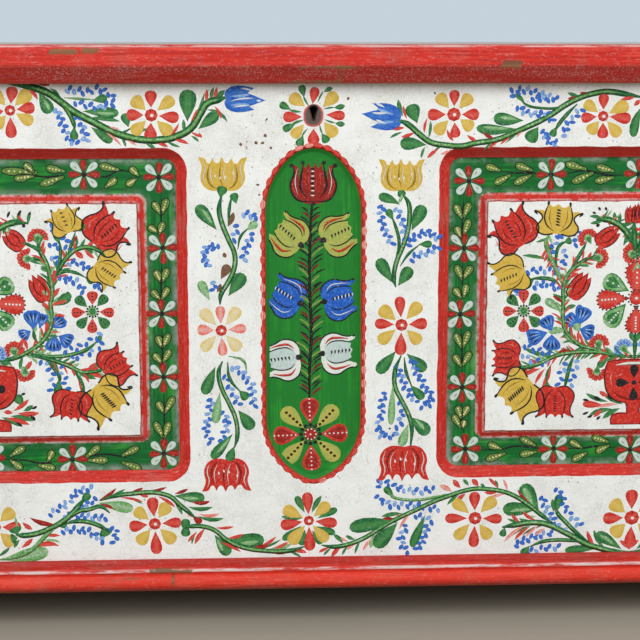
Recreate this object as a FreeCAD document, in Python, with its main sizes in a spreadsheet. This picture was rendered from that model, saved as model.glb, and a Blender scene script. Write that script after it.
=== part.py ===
import FreeCAD, Part
import math
import os
import re
import Sketcher

# A painted wedding chest: a framed and panelled box on turned feet, with a hinged lid, a lock and
# a till inside. Millimetres. The front faces -Y and +Z is up. The origin lies on the floor, under
# the centre of the whole chest.

os.makedirs("parts", exist_ok=True)
document = FreeCAD.newDocument("wedding_chest")

# Driving sizes: name, value, what it measures.
SIZES = [
    ("carcass_length", 1220, "box, end face to end face"),
    ("carcass_depth", 570, "box, front face to back face"),
    ("carcass_height", 523, "box, from its bottom edge to the top edge that carries the lid"),
    ("front_thickness", 24, "front frame"),
    ("end_thickness", 22, "end frames"),
    ("back_thickness", 20, "back boards"),
    ("bottom_thickness", 18, "bottom boards"),
    ("bottom_lift", 12, "box's bottom edge to the underside of the bottom boards"),
    ("bottom_housing", 6, "depth of the groove that holds the bottom boards"),
    ("housing_slack", 0.5, "play at the bottom of a groove or mortise"),
    ("overrun", 5, "how far a cutter runs past the wood that it cuts"),
    ("corner_tongue_thickness", 7, "tongue on an end's front stile"),
    ("corner_tongue_reach", 8, "how far that tongue enters the front stile"),
    ("corner_tongue_inset", 6, "end face to the tongue"),
    ("front_stile_width", 85, "box's end face to the front opening's bevel"),
    ("muntin_width", 250, "between the bevels of the two front openings"),
    ("end_stile_width", 63, "end frame's outer edge to its opening's bevel"),
    ("top_rail_height", 78.5, "box's top edge to the openings' bevels"),
    ("bottom_rail_height", 110.5, "box's bottom edge to the openings' bevels"),
    ("opening_corner", 22, "corner radius of the opening, over its bevel"),
    ("opening_bevel", 10, "width of the bevel round an opening"),
    ("opening_bevel_depth", 6, "depth of the bevel round an opening"),
    ("groove_lip", 7.5, "outer face to the panel groove"),
    ("groove_width", 8, "panel groove, across the thickness"),
    ("groove_reach", 8, "panel groove, beyond the sight edge"),
    ("panel_play", 1, "panel's edge to the bottom of its groove"),
    ("panel_slack", 0.25, "panel's tongue to each wall of its groove"),
    ("channel_side", 31, "flat channel at the panel's two upright edges"),
    ("channel_top", 36, "flat channel along the panel's top"),
    ("channel_foot", 30, "flat channel along the panel's foot"),
    ("field_bevel", 8, "width of the bevel round the raised field"),
    ("field_set_back", 1, "outer face to the raised field"),
    ("tenon_length", 60, "tenon of a front rail in its stile"),
    ("end_tenon_length", 45, "tenon of an end rail in its stile"),
    ("muntin_tenon_length", 30, "tenon of the centre muntin in a rail"),
    ("tenon_shoulder", 10, "shoulder beside a tenon"),
    ("oval_half_width", 50, "half width of the oval recess"),
    ("oval_head_drop", 76, "box's top edge to the head of the oval recess"),
    ("oval_foot_lift", 107, "box's bottom edge to the foot of the oval recess"),
    ("oval_cap", 66, "height of each rounded end of the oval"),
    ("oval_top_tip", 36, "radius of the tip at the oval's top"),
    ("oval_foot_tip", 18, "radius of the tip at the oval's foot"),
    ("oval_rim", 6.5, "width of the bevel round the oval"),
    ("oval_depth", 4.5, "depth of the oval recess"),
    ("plank_tongue", 6, "tongue between two planks: its thickness and its reach"),
    ("plank_slack", 0.4, "play round a plank's tongue"),
    ("foot_height", 40, "floor to the box's bottom edge"),
    ("foot_radius", 45, "nominal radius of the bun foot"),
    ("foot_inset", 62, "outer faces of the box to the foot's axis"),
    ("foot_collar_radius", 30, "collar between the frame and the bottom boards"),
    ("foot_tenon_radius", 15, "round tenon in the bottom board"),
    ("foot_tenon_length", 12, "round tenon in the bottom board"),
    ("foot_fit", 0.1, "play round the foot's tenon"),
    ("base_height", 29, "base moulding"),
    ("base_projection", 18, "base moulding"),
    ("lid_thickness", 22, "lid boards"),
    ("lid_moulding_thickness", 22, "lid edge moulding"),
    ("lid_moulding_height", 37.5, "lid edge moulding"),
    ("lid_moulding_gap", 2, "box to the lid moulding that hangs round it"),
    ("lid_moulding_round", 6, "rounded top edge of the lid moulding"),
    ("batten_width", 60, "batten under the lid"),
    ("batten_thickness", 20, "batten under the lid"),
    ("batten_clearance", 3, "batten's ends to the inside of the box"),
    ("batten_inset", 160, "box's end face to the middle of a batten"),
    ("hinge_inset", 310, "box's end face to the middle of a hinge"),
    ("hinge_width", 60, "fixed leaf and barrel"),
    ("hinge_thickness", 3, "iron of the leaf and the strap"),
    ("hinge_leaf_drop", 78, "hinge axis to the lower end of the fixed leaf"),
    ("hinge_axis_out", 6.5, "back face to the hinge axis"),
    ("hinge_axis_drop", 1.5, "box's top edge to the hinge axis"),
    ("barrel_radius", 5, "hinge barrel"),
    ("barrel_gap", 0.5, "gap between two knuckles"),
    ("pin_radius", 2.5, "hinge pin"),
    ("pin_fit", 0.05, "play round the hinge pin"),
    ("pin_head_radius", 4, "heads of the hinge pin"),
    ("pin_head_thickness", 2, "heads of the hinge pin"),
    ("strap_reach", 250, "back face to the tip of the strap"),
    ("strap_width", 38, "strap at its broad end"),
    ("strap_tip_radius", 14, "rounded tip of the strap"),
    ("strap_clearance", 0.6, "strap's neck to its notch in the back"),
    ("nail_radius", 1.5, "shank of every nail"),
    ("nail_fit", 0.05, "play round a shank"),
    ("nail_head_radius", 4.5, "head of every nail, at its rim"),
    ("nail_head_height", 1.8, "head of every nail"),
    ("iron_nail_length", 18, "short nail for ironwork and for the till"),
    ("board_nail_length", 36, "long nail for boards and battens"),
    ("lock_width", 110, "lock cap"),
    ("lock_flange", 12, "flange each side of the lock cap, with its nails"),
    ("lock_height", 76, "lock plate and cap"),
    ("lock_drop", 7, "box's top edge to the top of the lock"),
    ("lock_depth", 22, "inside of the rail to the outside of the cap"),
    ("lock_plate_thickness", 2.5, "plate against the rail"),
    ("lock_wall", 1.5, "sheet iron of the cap"),
    ("keyhole_drop", 45.6, "box's top edge to the middle of the keyhole"),
    ("keyhole_top_radius", 4.2, "round top of the keyhole"),
    ("keyhole_foot_radius", 1.2, "narrow foot of the keyhole"),
    ("keyhole_span", 8, "centre of the top to the centre of the foot"),
    ("liner_wall", 1.4, "iron liner of the keyhole"),
    ("liner_depth", 6, "iron liner of the keyhole"),
    ("liner_fit", 0.1, "play round the liner"),
    ("bolt_thickness", 5, "lock bolt, front to back"),
    ("bolt_height", 8, "lock bolt"),
    ("bolt_drop", 16, "box's top edge to the middle of the bolt"),
    ("bolt_tail", 50, "lock's centre to the bolt's tail, drawn back"),
    ("bolt_rest_gap", 3, "bolt's tip to the staple, drawn back"),
    ("bolt_fit", 0.1, "play of the bolt in its guides"),
    ("bolt_talon_drop", 14, "talon under the bolt that the key moves"),
    ("guide_wall", 3, "iron round the bolt in a guide"),
    ("guide_length", 7, "each guide, along the bolt"),
    ("staple_thickness", 4, "iron of the staple"),
    ("staple_play", 0.8, "bolt's sides to the staple's legs"),
    ("staple_lift_play", 2, "bolt to the staple, above and below"),
    ("staple_plate_length", 56, "plate under the lid"),
    ("staple_plate_thickness", 3, "plate under the lid"),
    ("slot_clearance", 1.6, "staple to the slot in the cap"),
    ("till_width", 132, "till, from the end frame to its side board"),
    ("till_depth", 114, "till, outside, below its lid"),
    ("till_board", 10, "front, back and side of the till"),
    ("till_end_board", 6, "till's board against the end frame"),
    ("till_bottom_thickness", 8, "till's bottom"),
    ("till_bottom_lift", 4, "till's lower edge to its bottom board"),
    ("till_housing", 4, "groove for the till's bottom"),
    ("till_lid_thickness", 8, "till's lid"),
    ("till_lid_gap", 0.8, "till's lid to the boards beside it"),
    ("till_pintle_radius", 3, "pintles of the till's lid"),
    ("till_pintle_length", 6, "pintles of the till's lid"),
    ("till_headroom", 6, "open till lid to the closed chest lid"),
]

sheet = document.addObject("Spreadsheet::Sheet", "sizes")
for row, (name, value, meaning) in enumerate(SIZES, start=1):
    sheet.set(f"A{row}", meaning)
    sheet.set(f"B{row}", str(value))
    sheet.setAlias(f"B{row}", name)
document.recompute()

# Places and lesser sizes worked out from the driving ones.
places = document.addObject("App::VarSet", "places")
size_names = {name for name, value, meaning in SIZES}
place_names = set()


def formula(text):
    """A formula in plain words, with every word written as the document knows it."""

    def owned(match):
        word = match.group(0)
        if word in size_names:
            return f"sizes.{word}"
        if word in place_names:
            return f"places.{word}"
        return word

    return re.sub(r"[a-z][a-z0-9_]*", owned, text)


def place(name, text):
    """Name a place or a lesser size that follows from others."""
    places.addProperty("App::PropertyFloat", name)
    places.setExpression(name, formula(text))
    place_names.add(name)


place("hinge_reach", "hinge_axis_out + barrel_radius")
place("lid_overhang", "lid_moulding_thickness + lid_moulding_gap")
place("front_face", "(lid_overhang - hinge_reach - carcass_depth) / 2")
place("back_face", "front_face + carcass_depth")
place("end_face", "carcass_length / 2")
place("box_foot", "foot_height")
place("box_top", "foot_height + carcass_height")
place("inner_front", "front_face + front_thickness")
place("inner_back", "back_face - back_thickness")
place("inner_end", "end_face - end_thickness")
place("end_run", "carcass_depth - front_thickness - back_thickness")
place("front_opening_length", "carcass_length / 2 - front_stile_width - muntin_width / 2")
place("end_opening_length", "end_run - 2 * end_stile_width")
place("opening_centre", "muntin_width / 2 + front_opening_length / 2")
place("opening_height", "carcass_height - top_rail_height - bottom_rail_height")
place("opening_lift", "bottom_rail_height + opening_height / 2")
place("oval_length", "carcass_height - oval_head_drop - oval_foot_lift")
place("oval_lift", "oval_foot_lift + oval_length / 2")
place("front_sight_length", "front_opening_length - 2 * opening_bevel")
place("end_sight_length", "end_opening_length - 2 * opening_bevel")
place("sight_height", "opening_height - 2 * opening_bevel")
place("sight_corner", "opening_corner - opening_bevel")
place("sight_top", "opening_lift + sight_height / 2")
place("sight_foot", "opening_lift - sight_height / 2")
place("ear_top", "sight_top - sight_corner")
place("ear_foot", "sight_foot + sight_corner")
place("front_sight_edge", "opening_centre + front_sight_length / 2")
place("muntin_edge", "opening_centre - front_sight_length / 2")
place("end_sight_edge", "end_sight_length / 2")
place("upper_tenon_foot", "sight_top + groove_reach + tenon_shoulder")
place("upper_tenon_head", "carcass_height - tenon_shoulder")
place("lower_tenon_foot", "tenon_shoulder")
place("lower_tenon_head", "sight_foot - groove_reach - tenon_shoulder")
place("channel_depth", "groove_lip + panel_slack")
place("bottom_head", "bottom_lift + bottom_thickness")
place("hinge_axis_y", "back_face + hinge_axis_out")
place("hinge_axis_z", "box_top - hinge_axis_drop")
place("knuckle", "(hinge_width - 2 * barrel_gap) / 3")
place("lid_foot", "box_top")
place("lid_top", "box_top + lid_thickness")
place("lid_inner_front", "front_face - lid_moulding_gap")
place("lid_inner_end", "end_face + lid_moulding_gap")
place("lid_run", "back_face - lid_inner_front")
place("batten_x", "end_face - batten_inset")
place("hinge_x", "end_face - hinge_inset")
place("lock_top", "box_top - lock_drop")
place("lock_foot", "lock_top - lock_height")
place("lock_plate_face", "inner_front + lock_plate_thickness")
place("lock_cap_face", "inner_front + lock_depth")
place("bolt_y", "(lock_plate_face + lock_cap_face - lock_wall) / 2")
place("bolt_z", "box_top - bolt_drop")
place("staple_half_gap", "bolt_thickness / 2 + staple_play")
place("staple_half_width", "staple_half_gap + staple_thickness")
place("staple_hole_foot", "bolt_z - bolt_height / 2 - staple_lift_play")
place("staple_foot", "staple_hole_foot - staple_thickness")
place("staple_plate_foot", "box_top - staple_plate_thickness")
place("bolt_tip", "-staple_thickness / 2 - bolt_rest_gap")
place("keyhole_z", "box_top - keyhole_drop")
place("till_inner_face", "inner_end - till_end_board")
place("till_axis_x", "till_inner_face - till_lid_gap - till_lid_thickness / 2")
place("till_side_face", "inner_end - till_width")
place("till_lid_reach", "till_axis_x - till_side_face")
place("till_axis_z", "box_top - till_headroom - till_lid_reach")
place("till_box_top", "till_axis_z - till_lid_thickness / 2")
place("till_foot", "till_box_top - till_depth")
place("till_front_y", "inner_front + till_board")
place("till_back_y", "inner_back - till_board")
document.recompute()


def value(text):
    """The number that a formula gives now."""
    return float(places.evalExpression(formula(text)))


def bind(thing, name, text):
    """Bind one property of a feature to a formula."""
    thing.setExpression(name, formula(text))


def seat(thing, x="0", y="0", z="0", turn=0, axis=(0, 0, 1)):
    """Place a feature at a point worked out by formulas, turned in degrees about an axis."""
    thing.Placement = FreeCAD.Placement(FreeCAD.Vector(), FreeCAD.Rotation(FreeCAD.Vector(*axis), turn))
    for letter, text in zip("xyz", (x, y, z)):
        bind(thing, f"Placement.Base.{letter}", text)
    return thing


def block(name, x, y, z):
    """A rectangular block that runs between two formulas along each axis."""
    thing = document.addObject("Part::Box", name)
    for side, letter, (low, high) in zip(("Length", "Width", "Height"), "xyz", (x, y, z)):
        bind(thing, side, f"({high}) - ({low})")
        bind(thing, f"Placement.Base.{letter}", low)
    return thing


def rod(name, radius, length, x, y, z, turn=0, axis=(0, 0, 1)):
    """A round bar that starts at a point and runs along its own Z."""
    thing = document.addObject("Part::Cylinder", name)
    bind(thing, "Radius", radius)
    bind(thing, "Height", length)
    return seat(thing, x, y, z, turn, axis)


def fuse(name, pieces):
    """Several features made one."""
    thing = document.addObject("Part::MultiFuse", name)
    thing.Shapes = list(pieces)
    thing.Refine = True
    return thing


def together(name, pieces):
    """Several features in one group, each still its own solid."""
    thing = document.addObject("Part::Compound", name)
    thing.Links = list(pieces)
    return thing


def cut(name, base, tools):
    """One feature with others taken out of it."""
    thing = document.addObject("Part::Cut", name)
    thing.Base = base
    thing.Tool = tools[0] if len(tools) == 1 else together(f"{name}_cutters", tools)
    thing.Refine = True
    return thing


def common(name, base, tool):
    """What two features share."""
    thing = document.addObject("Part::Common", name)
    thing.Base = base
    thing.Tool = tool
    thing.Refine = True
    return thing


def sketch_on(body, role, offset="0"):
    """An empty sketch on one of a body's own planes, moved along the plane's normal."""
    sketch = body.newObject("Sketcher::SketchObject", f"{body.Name}_sketch")
    plane = next(item for item in body.Origin.OriginFeatures if item.Role == role)
    sketch.AttachmentSupport = [(plane, "")]
    sketch.MapMode = "FlatFace"
    bind(sketch, "AttachmentOffset.Base.z", offset)
    return sketch


def arc_between(start, end, radius, turn):
    """The short arc from start to end that turns left or right, as a counterclockwise curve."""
    span = end - start
    rise = math.sqrt(max(radius ** 2 - (span.Length / 2) ** 2, 0))
    normal = FreeCAD.Vector(-span.y, span.x, 0).normalize()
    side = 1 if turn == "left" else -1
    centre = start + span * 0.5 + normal * (rise * side)
    first, last = (start, end) if turn == "left" else (end, start)
    low, high = (math.atan2(p.y - centre.y, p.x - centre.x) for p in (first, last))
    return Part.ArcOfCircle(Part.Circle(centre, FreeCAD.Vector(0, 0, 1), radius), low, high)


def outline(sketch, corners):
    """Draw a closed outline whose corners and radii are bound to formulas.

    A corner is (x, y), or (x, y, radius, turn) where the run from it to the next one is an arc.
    """
    count = len(corners)
    points = [FreeCAD.Vector(value(corner[0]), value(corner[1]), 0) for corner in corners]
    first = sketch.GeometryCount
    ends = []
    for index, corner in enumerate(corners):
        start, end = points[index], points[(index + 1) % count]
        if len(corner) == 2:
            sketch.addGeometry(Part.LineSegment(start, end), False)
            ends.append((1, 2))
        else:
            sketch.addGeometry(arc_between(start, end, value(corner[2]), corner[3]), False)
            ends.append((1, 2) if corner[3] == "left" else (2, 1))
    for index, corner in enumerate(corners):
        following = (index + 1) % count
        joined = Sketcher.Constraint(
            "Coincident", first + index, ends[index][1], first + following, ends[following][0])
        sketch.addConstraint(joined)
    for index, corner in enumerate(corners):
        for kind, text in zip(("DistanceX", "DistanceY"), corner):
            measure = Sketcher.Constraint(kind, -1, 1, first + index, ends[index][0], value(text))
            bind(sketch, f"Constraints[{sketch.addConstraint(measure)}]", text)
        if len(corner) == 4:
            measure = Sketcher.Constraint("Radius", first + index, value(corner[2]))
            bind(sketch, f"Constraints[{sketch.addConstraint(measure)}]", corner[2])
    return sketch


def rectangle(left, right, low, high):
    """Corners of a rectangle."""
    return [(left, low), (right, low), (right, high), (left, high)]


def rounded_rectangle(left, right, low, high, radius):
    """Corners of a rectangle with round corners."""
    return [
        (f"{left} + {radius}", low),
        (f"{right} - {radius}", low, radius, "left"),
        (right, f"{low} + {radius}"),
        (right, f"{high} - {radius}", radius, "left"),
        (f"{right} - {radius}", high),
        (f"{left} + {radius}", high, radius, "left"),
        (left, f"{high} - {radius}"),
        (left, f"{low} + {radius}", radius, "left"),
    ]


def pad(body, sketch, length, reverse=False, middle=False):
    """Raise a sketch into a solid."""
    feature = body.newObject("PartDesign::Pad", f"{body.Name}_pad")
    feature.Profile = sketch
    bind(feature, "Length", length)
    feature.Reversed = reverse
    feature.Midplane = middle
    return feature


def pocket(body, sketch, middle=False):
    """Cut a sketch right through a body."""
    feature = body.newObject("PartDesign::Pocket", f"{body.Name}_pocket")
    feature.Profile = sketch
    feature.Type = "ThroughAll"
    feature.Midplane = middle
    return feature


def sink(body, mouth, floor):
    """Cut a sloping-sided recess between two sketches."""
    feature = body.newObject("PartDesign::SubtractiveLoft", f"{body.Name}_recess")
    feature.Profile = mouth
    feature.Sections = [floor]
    feature.Ruled = True
    return feature


# Nails. A nail stands on its own origin with the head above it and the shank below.
def nail_pattern(name, length):
    """One nail, and the hole that it leaves."""
    shank = rod(f"{name}_shank", "nail_radius", length, "0", "0", f"-{length}")
    head = document.addObject("Part::Cone", f"{name}_head")
    bind(head, "Radius1", "nail_head_radius")
    bind(head, "Radius2", "nail_head_radius / 2")
    bind(head, "Height", "nail_head_height")
    nail = fuse(f"{name}_pattern", [shank, head])
    bore = f"{length} + housing_slack"
    hole = rod(f"{name}_hole_pattern", "nail_radius + nail_fit", bore, "0", "0", f"-({bore})")
    return nail, hole


def nail_group(name, pattern, spots):
    """Nails of one kind at many spots, and the holes for them.

    A spot is (x, y, z, heading), where the heading says which way the nail is driven.
    """
    headings = {
        "forward": (-90, (1, 0, 0)),
        "up": (180, (1, 0, 0)),
        "right": (-90, (0, 1, 0)),
    }
    nails = []
    holes = []
    for index, (x, y, z, heading) in enumerate(spots, start=1):
        turn, axis = headings[heading]
        for kind, source, group in (("nail", pattern[0], nails), ("hole", pattern[1], holes)):
            copy = document.addObject("App::Link", f"{name}_{kind}_{index}")
            copy.LinkedObject = source
            copy.LinkTransform = True
            group.append(seat(copy, x, y, z, turn, axis))
    return together(name, nails), together(f"{name}_holes", holes)


iron_nail = nail_pattern("iron_nail", "iron_nail_length")
board_nail = nail_pattern("board_nail", "board_nail_length")

HINGES = {"left": "-hinge_x", "right": "hinge_x"}
LEAF_NAIL_ACROSS_SHARE = 0.33
LEAF_NAIL_DOWN_SHARES = (0.38, 0.82)
STRAP_NAIL_SHARES = (0.22, 0.42, 0.62, 0.94)
LOCK_NAIL_DOWN_SHARES = (0.12, 0.72)
STAPLE_NAIL_SHARE = 0.36
TILL_NAIL_IN_SHARE = 0.06
TILL_NAIL_UP_SHARES = (0.3, 0.75)
BACK_NAIL_SHARES = (0.2, 0.8)
BATTEN_NAIL_SHARES = (0.04, 0.28, 0.5, 0.74, 0.96)

leaf_nails = [
    (f"{centre} + {side} * {LEAF_NAIL_ACROSS_SHARE} * hinge_width", "back_face + hinge_thickness",
     f"hinge_axis_z - {share} * hinge_leaf_drop", "forward")
    for centre in HINGES.values() for side in (-1, 1) for share in LEAF_NAIL_DOWN_SHARES]
lock_nails = [
    (f"{side} * (lock_width + lock_flange) / 2", "lock_plate_face + lock_wall",
     f"lock_top - {share} * lock_height", "forward")
    for side in (-1, 1) for share in LOCK_NAIL_DOWN_SHARES]
till_nails = [
    ("till_inner_face", f"{wall} + {side} * (till_board + {TILL_NAIL_IN_SHARE} * end_run)",
     f"till_foot + {share} * till_depth", "right")
    for wall, side in (("inner_front", 1), ("inner_back", -1)) for share in TILL_NAIL_UP_SHARES]
chest_iron_nails, chest_iron_holes = nail_group(
    "chest_iron_nails", iron_nail, leaf_nails + lock_nails + till_nails)

strap_nails = [
    (centre, f"back_face - {share} * strap_reach", "box_top - hinge_thickness", "up")
    for centre in HINGES.values() for share in STRAP_NAIL_SHARES]
staple_nails = [
    (f"{side} * {STAPLE_NAIL_SHARE} * staple_plate_length", "bolt_y", "staple_plate_foot", "up")
    for side in (-1, 1)]
lid_iron_nails, lid_iron_holes = nail_group("lid_iron_nails", iron_nail, strap_nails + staple_nails)

back_nails = [
    (f"{side} * (end_face - end_thickness / 2)", "back_face",
     f"box_foot + ({board} + {share}) * carcass_height / 3", "forward")
    for side in (-1, 1) for board in range(3) for share in BACK_NAIL_SHARES]
chest_board_nails, chest_board_holes = nail_group("chest_board_nails", board_nail, back_nails)

batten_nails = [
    (f"{side} * batten_x", f"inner_front + {share} * end_run",
     "lid_foot - batten_thickness", "up")
    for side in (-1, 1) for share in BATTEN_NAIL_SHARES]
lid_board_nails, lid_board_holes = nail_group("lid_board_nails", board_nail, batten_nails)


# Framed walls. A wall's own frame has X along it, Y into the chest from its outer face, and Z up
# from the box's bottom edge.
def opening_outline(length, centre, inset):
    """The rounded outline of a panel opening, drawn in by an inset from its outer edge."""
    half_length = f"({length} / 2 - {inset})"
    half_height = f"(opening_height / 2 - {inset})"
    return rounded_rectangle(
        f"{centre} - {half_length}", f"{centre} + {half_length}",
        f"opening_lift - {half_height}", f"opening_lift + {half_height}",
        f"(opening_corner - {inset})")


def oval_outline(inset):
    """The oval recess, drawn in by an inset: straight sides and two three-centred ends."""
    wide = f"(oval_half_width - {inset})"
    spring = "(oval_length / 2 - oval_cap)"

    def flank(tip):
        rise = f"(oval_cap - {tip})"
        lean = f"(oval_half_width - {tip})"
        radius = f"((oval_half_width ^ 2 + {rise} ^ 2 - {tip} ^ 2) / (2 * {lean}))"
        share = f"({tip} - {inset}) / ({radius} - {tip})"
        across = f"({radius} - oval_half_width) * {share}"
        up = f"{spring} + {rise} * (1 + {share})"
        return f"({radius} - {inset})", across, up

    head_radius, head_x, head_up = flank("oval_top_tip")
    foot_radius, foot_x, foot_up = flank("oval_foot_tip")
    head_tip = f"(oval_top_tip - {inset})"
    foot_tip = f"(oval_foot_tip - {inset})"
    return [
        (wide, f"oval_lift - {spring}"),
        (wide, f"oval_lift + {spring}", head_radius, "left"),
        (head_x, f"oval_lift + {head_up}", head_tip, "left"),
        (f"-({head_x})", f"oval_lift + {head_up}", head_radius, "left"),
        (f"-{wide}", f"oval_lift + {spring}"),
        (f"-{wide}", f"oval_lift - {spring}", foot_radius, "left"),
        (f"-({foot_x})", f"oval_lift - ({foot_up})", foot_tip, "left"),
        (foot_x, f"oval_lift - ({foot_up})", foot_radius, "left"),
    ]


def wall_blank(wall, length, thickness, opening, centres):
    """A whole wall with its bevelled openings, the groove round each and the bottom's groove."""
    body = document.addObject("PartDesign::Body", f"{wall}_blank")
    face = outline(
        sketch_on(body, "XZ_Plane"), rectangle(f"-{length} / 2", f"{length} / 2", "0", "carcass_height"))
    pad(body, face, thickness, reverse=True)
    for centre in centres:
        mouth = outline(sketch_on(body, "XZ_Plane"), opening_outline(opening, centre, "0"))
        throat = outline(
            sketch_on(body, "XZ_Plane", "-opening_bevel_depth"),
            opening_outline(opening, centre, "opening_bevel"))
        sink(body, mouth, throat)
        pocket(body, throat)
    return body


def wall_grooves(wall, thickness, sight, centres, bottom_half_length):
    """Blocks that cut the panel grooves and the groove for the bottom boards."""
    reach = f"({sight} / 2 + groove_reach)"
    grooves = [
        block(f"{wall}_groove_{index}", (f"{centre} - {reach}", f"{centre} + {reach}"),
              ("groove_lip", "groove_lip + groove_width"),
              ("sight_foot - groove_reach", "sight_top + groove_reach"))
        for index, centre in enumerate(centres, start=1)]
    grooves.append(block(
        f"{wall}_bottom_groove", (f"-({bottom_half_length})", bottom_half_length),
        (f"{thickness} - bottom_housing - housing_slack", thickness), ("bottom_lift", "bottom_head")))
    return grooves


def tenon(name, x, z):
    """A tenon or its mortise, in line with the panel groove."""
    return block(name, x, ("groove_lip", "groove_lip + groove_width"), z)


def wall_members(wall, length, thickness, edge, tenon_reach, stock, seating):
    """Two stiles and two rails split out of a grooved blank, with tenons and mortises."""
    half = f"({length} / 2)"
    depth = ("0", thickness)
    full = ("0", "carcass_height")
    rails = {
        "top_rail": (("ear_top", "carcass_height"), ("upper_tenon_foot", "upper_tenon_head")),
        "bottom_rail": (("0", "ear_foot"), ("lower_tenon_foot", "lower_tenon_head")),
    }
    members = {}
    for rail, (span, tenon_span) in rails.items():
        body = block(f"{wall}_{rail}_body", (f"-{edge}", edge), depth, span)
        reach = f"{edge} + {tenon_reach}"
        tongues = tenon(f"{wall}_{rail}_tenons", (f"-({reach})", reach), tenon_span)
        members[rail] = common(
            f"{wall}_{rail}_stock", stock, fuse(f"{wall}_{rail}_form", [body, tongues]))
    for side, sign in (("low", "-"), ("high", "")):
        outer = (f"-{half}", f"-{edge}") if sign else (edge, half)
        body = block(f"{wall}_{side}_stile_body", outer, depth, full)
        stile = common(f"{wall}_{side}_stile_whole", stock, body)
        deep = f"{edge} + {tenon_reach} + housing_slack"
        run = (f"-({deep})", f"-{edge}") if sign else (edge, deep)
        mortises = [
            tenon(f"{wall}_{side}_{rail}_mortise", run, tenon_span)
            for rail, (span, tenon_span) in rails.items()]
        members[f"{side}_stile"] = cut(f"{wall}_{side}_stile_stock", stile, mortises)
    for member in members.values():
        seat(member, *seating)
    return members


def raised_panel(name, sight, centre, seating):
    """A panel whose thin edge lies in the groove and whose raised field has mitred bevels."""
    reach = f"({sight} / 2 + groove_reach - panel_play)"
    rise = "(sight_height / 2 + groove_reach - panel_play)"
    plate = block(
        f"{name}_plate", (f"{centre} - {reach}", f"{centre} + {reach}"),
        ("channel_depth", "groove_lip + groove_width - panel_slack"),
        (f"opening_lift - {rise}", f"opening_lift + {rise}"))
    field = document.addObject("Part::Wedge", f"{name}_field")
    base = f"{sight} / 2 - channel_side"
    bind(field, "Ymin", "field_set_back")
    bind(field, "Ymax", "channel_depth")
    bind(field, "X2min", f"{centre} - ({base})")
    bind(field, "X2max", f"{centre} + ({base})")
    bind(field, "Xmin", f"{centre} - ({base} - field_bevel)")
    bind(field, "Xmax", f"{centre} + ({base} - field_bevel)")
    bind(field, "Z2min", "sight_foot + channel_foot")
    bind(field, "Z2max", "sight_top - channel_top")
    bind(field, "Zmin", "sight_foot + channel_foot + field_bevel")
    bind(field, "Zmax", "sight_top - channel_top - field_bevel")
    return seat(fuse(name, [plate, field]), *seating)


def front_wall():
    """The front: two stiles, two rails, the broad muntin with its oval recess, two panels."""
    centres = ["-opening_centre", "opening_centre"]
    seating = ("0", "front_face", "box_foot")
    body = wall_blank("front", "carcass_length", "front_thickness", "front_opening_length", centres)
    mouth = outline(sketch_on(body, "XZ_Plane"), oval_outline("0"))
    floor = outline(sketch_on(body, "XZ_Plane", "-oval_depth"), oval_outline("oval_rim"))
    sink(body, mouth, floor)
    bottom_half = "inner_end + bottom_housing"
    grooves = wall_grooves("front", "front_thickness", "front_sight_length", centres, bottom_half)
    for side, sign in (("left", -1), ("right", 1)):
        near = f"{sign} * (end_face - corner_tongue_inset)"
        far = f"{sign} * (end_face - corner_tongue_inset - corner_tongue_thickness)"
        grooves.append(block(
            f"front_{side}_corner_groove", (near, far) if sign < 0 else (far, near),
            ("front_thickness - corner_tongue_reach - housing_slack", "front_thickness"),
            ("0", "carcass_height")))
    stock = cut("front_stock", body, grooves)
    members = wall_members(
        "front", "carcass_length", "front_thickness", "front_sight_edge", "tenon_length", stock, seating)

    muntin_body = block(
        "front_muntin_body", ("-muntin_edge", "muntin_edge"), ("0", "front_thickness"),
        ("ear_foot", "ear_top"))
    half = "(muntin_edge - groove_reach - tenon_shoulder)"
    muntin_tenons = tenon(
        "front_muntin_tenons", (f"-{half}", half),
        ("ear_foot - muntin_tenon_length", "ear_top + muntin_tenon_length"))
    muntin = common("front_muntin", stock, fuse("front_muntin_form", [muntin_body, muntin_tenons]))
    seat(muntin, *seating)
    low = "ear_foot - muntin_tenon_length - housing_slack"
    high = "ear_top + muntin_tenon_length + housing_slack"
    mortise = seat(
        tenon("front_muntin_mortises", (f"-{half}", half), (low, high)),
        f"-{half}", "front_face + groove_lip", f"box_foot + {low}")
    nodes = [
        cut("front_top_rail", members["top_rail"], [mortise, keyhole_bore, liner_seat, chest_iron_holes]),
        cut("front_bottom_rail", members["bottom_rail"], [mortise]),
        muntin,
    ]
    for side, key in (("left", "low_stile"), ("right", "high_stile")):
        members[key].Label = f"front_stile_{side}"
        nodes.append(members[key])
    for side, centre in zip(("left", "right"), centres):
        nodes.append(raised_panel(f"front_panel_{side}", "front_sight_length", centre, seating))
    return nodes


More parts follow.
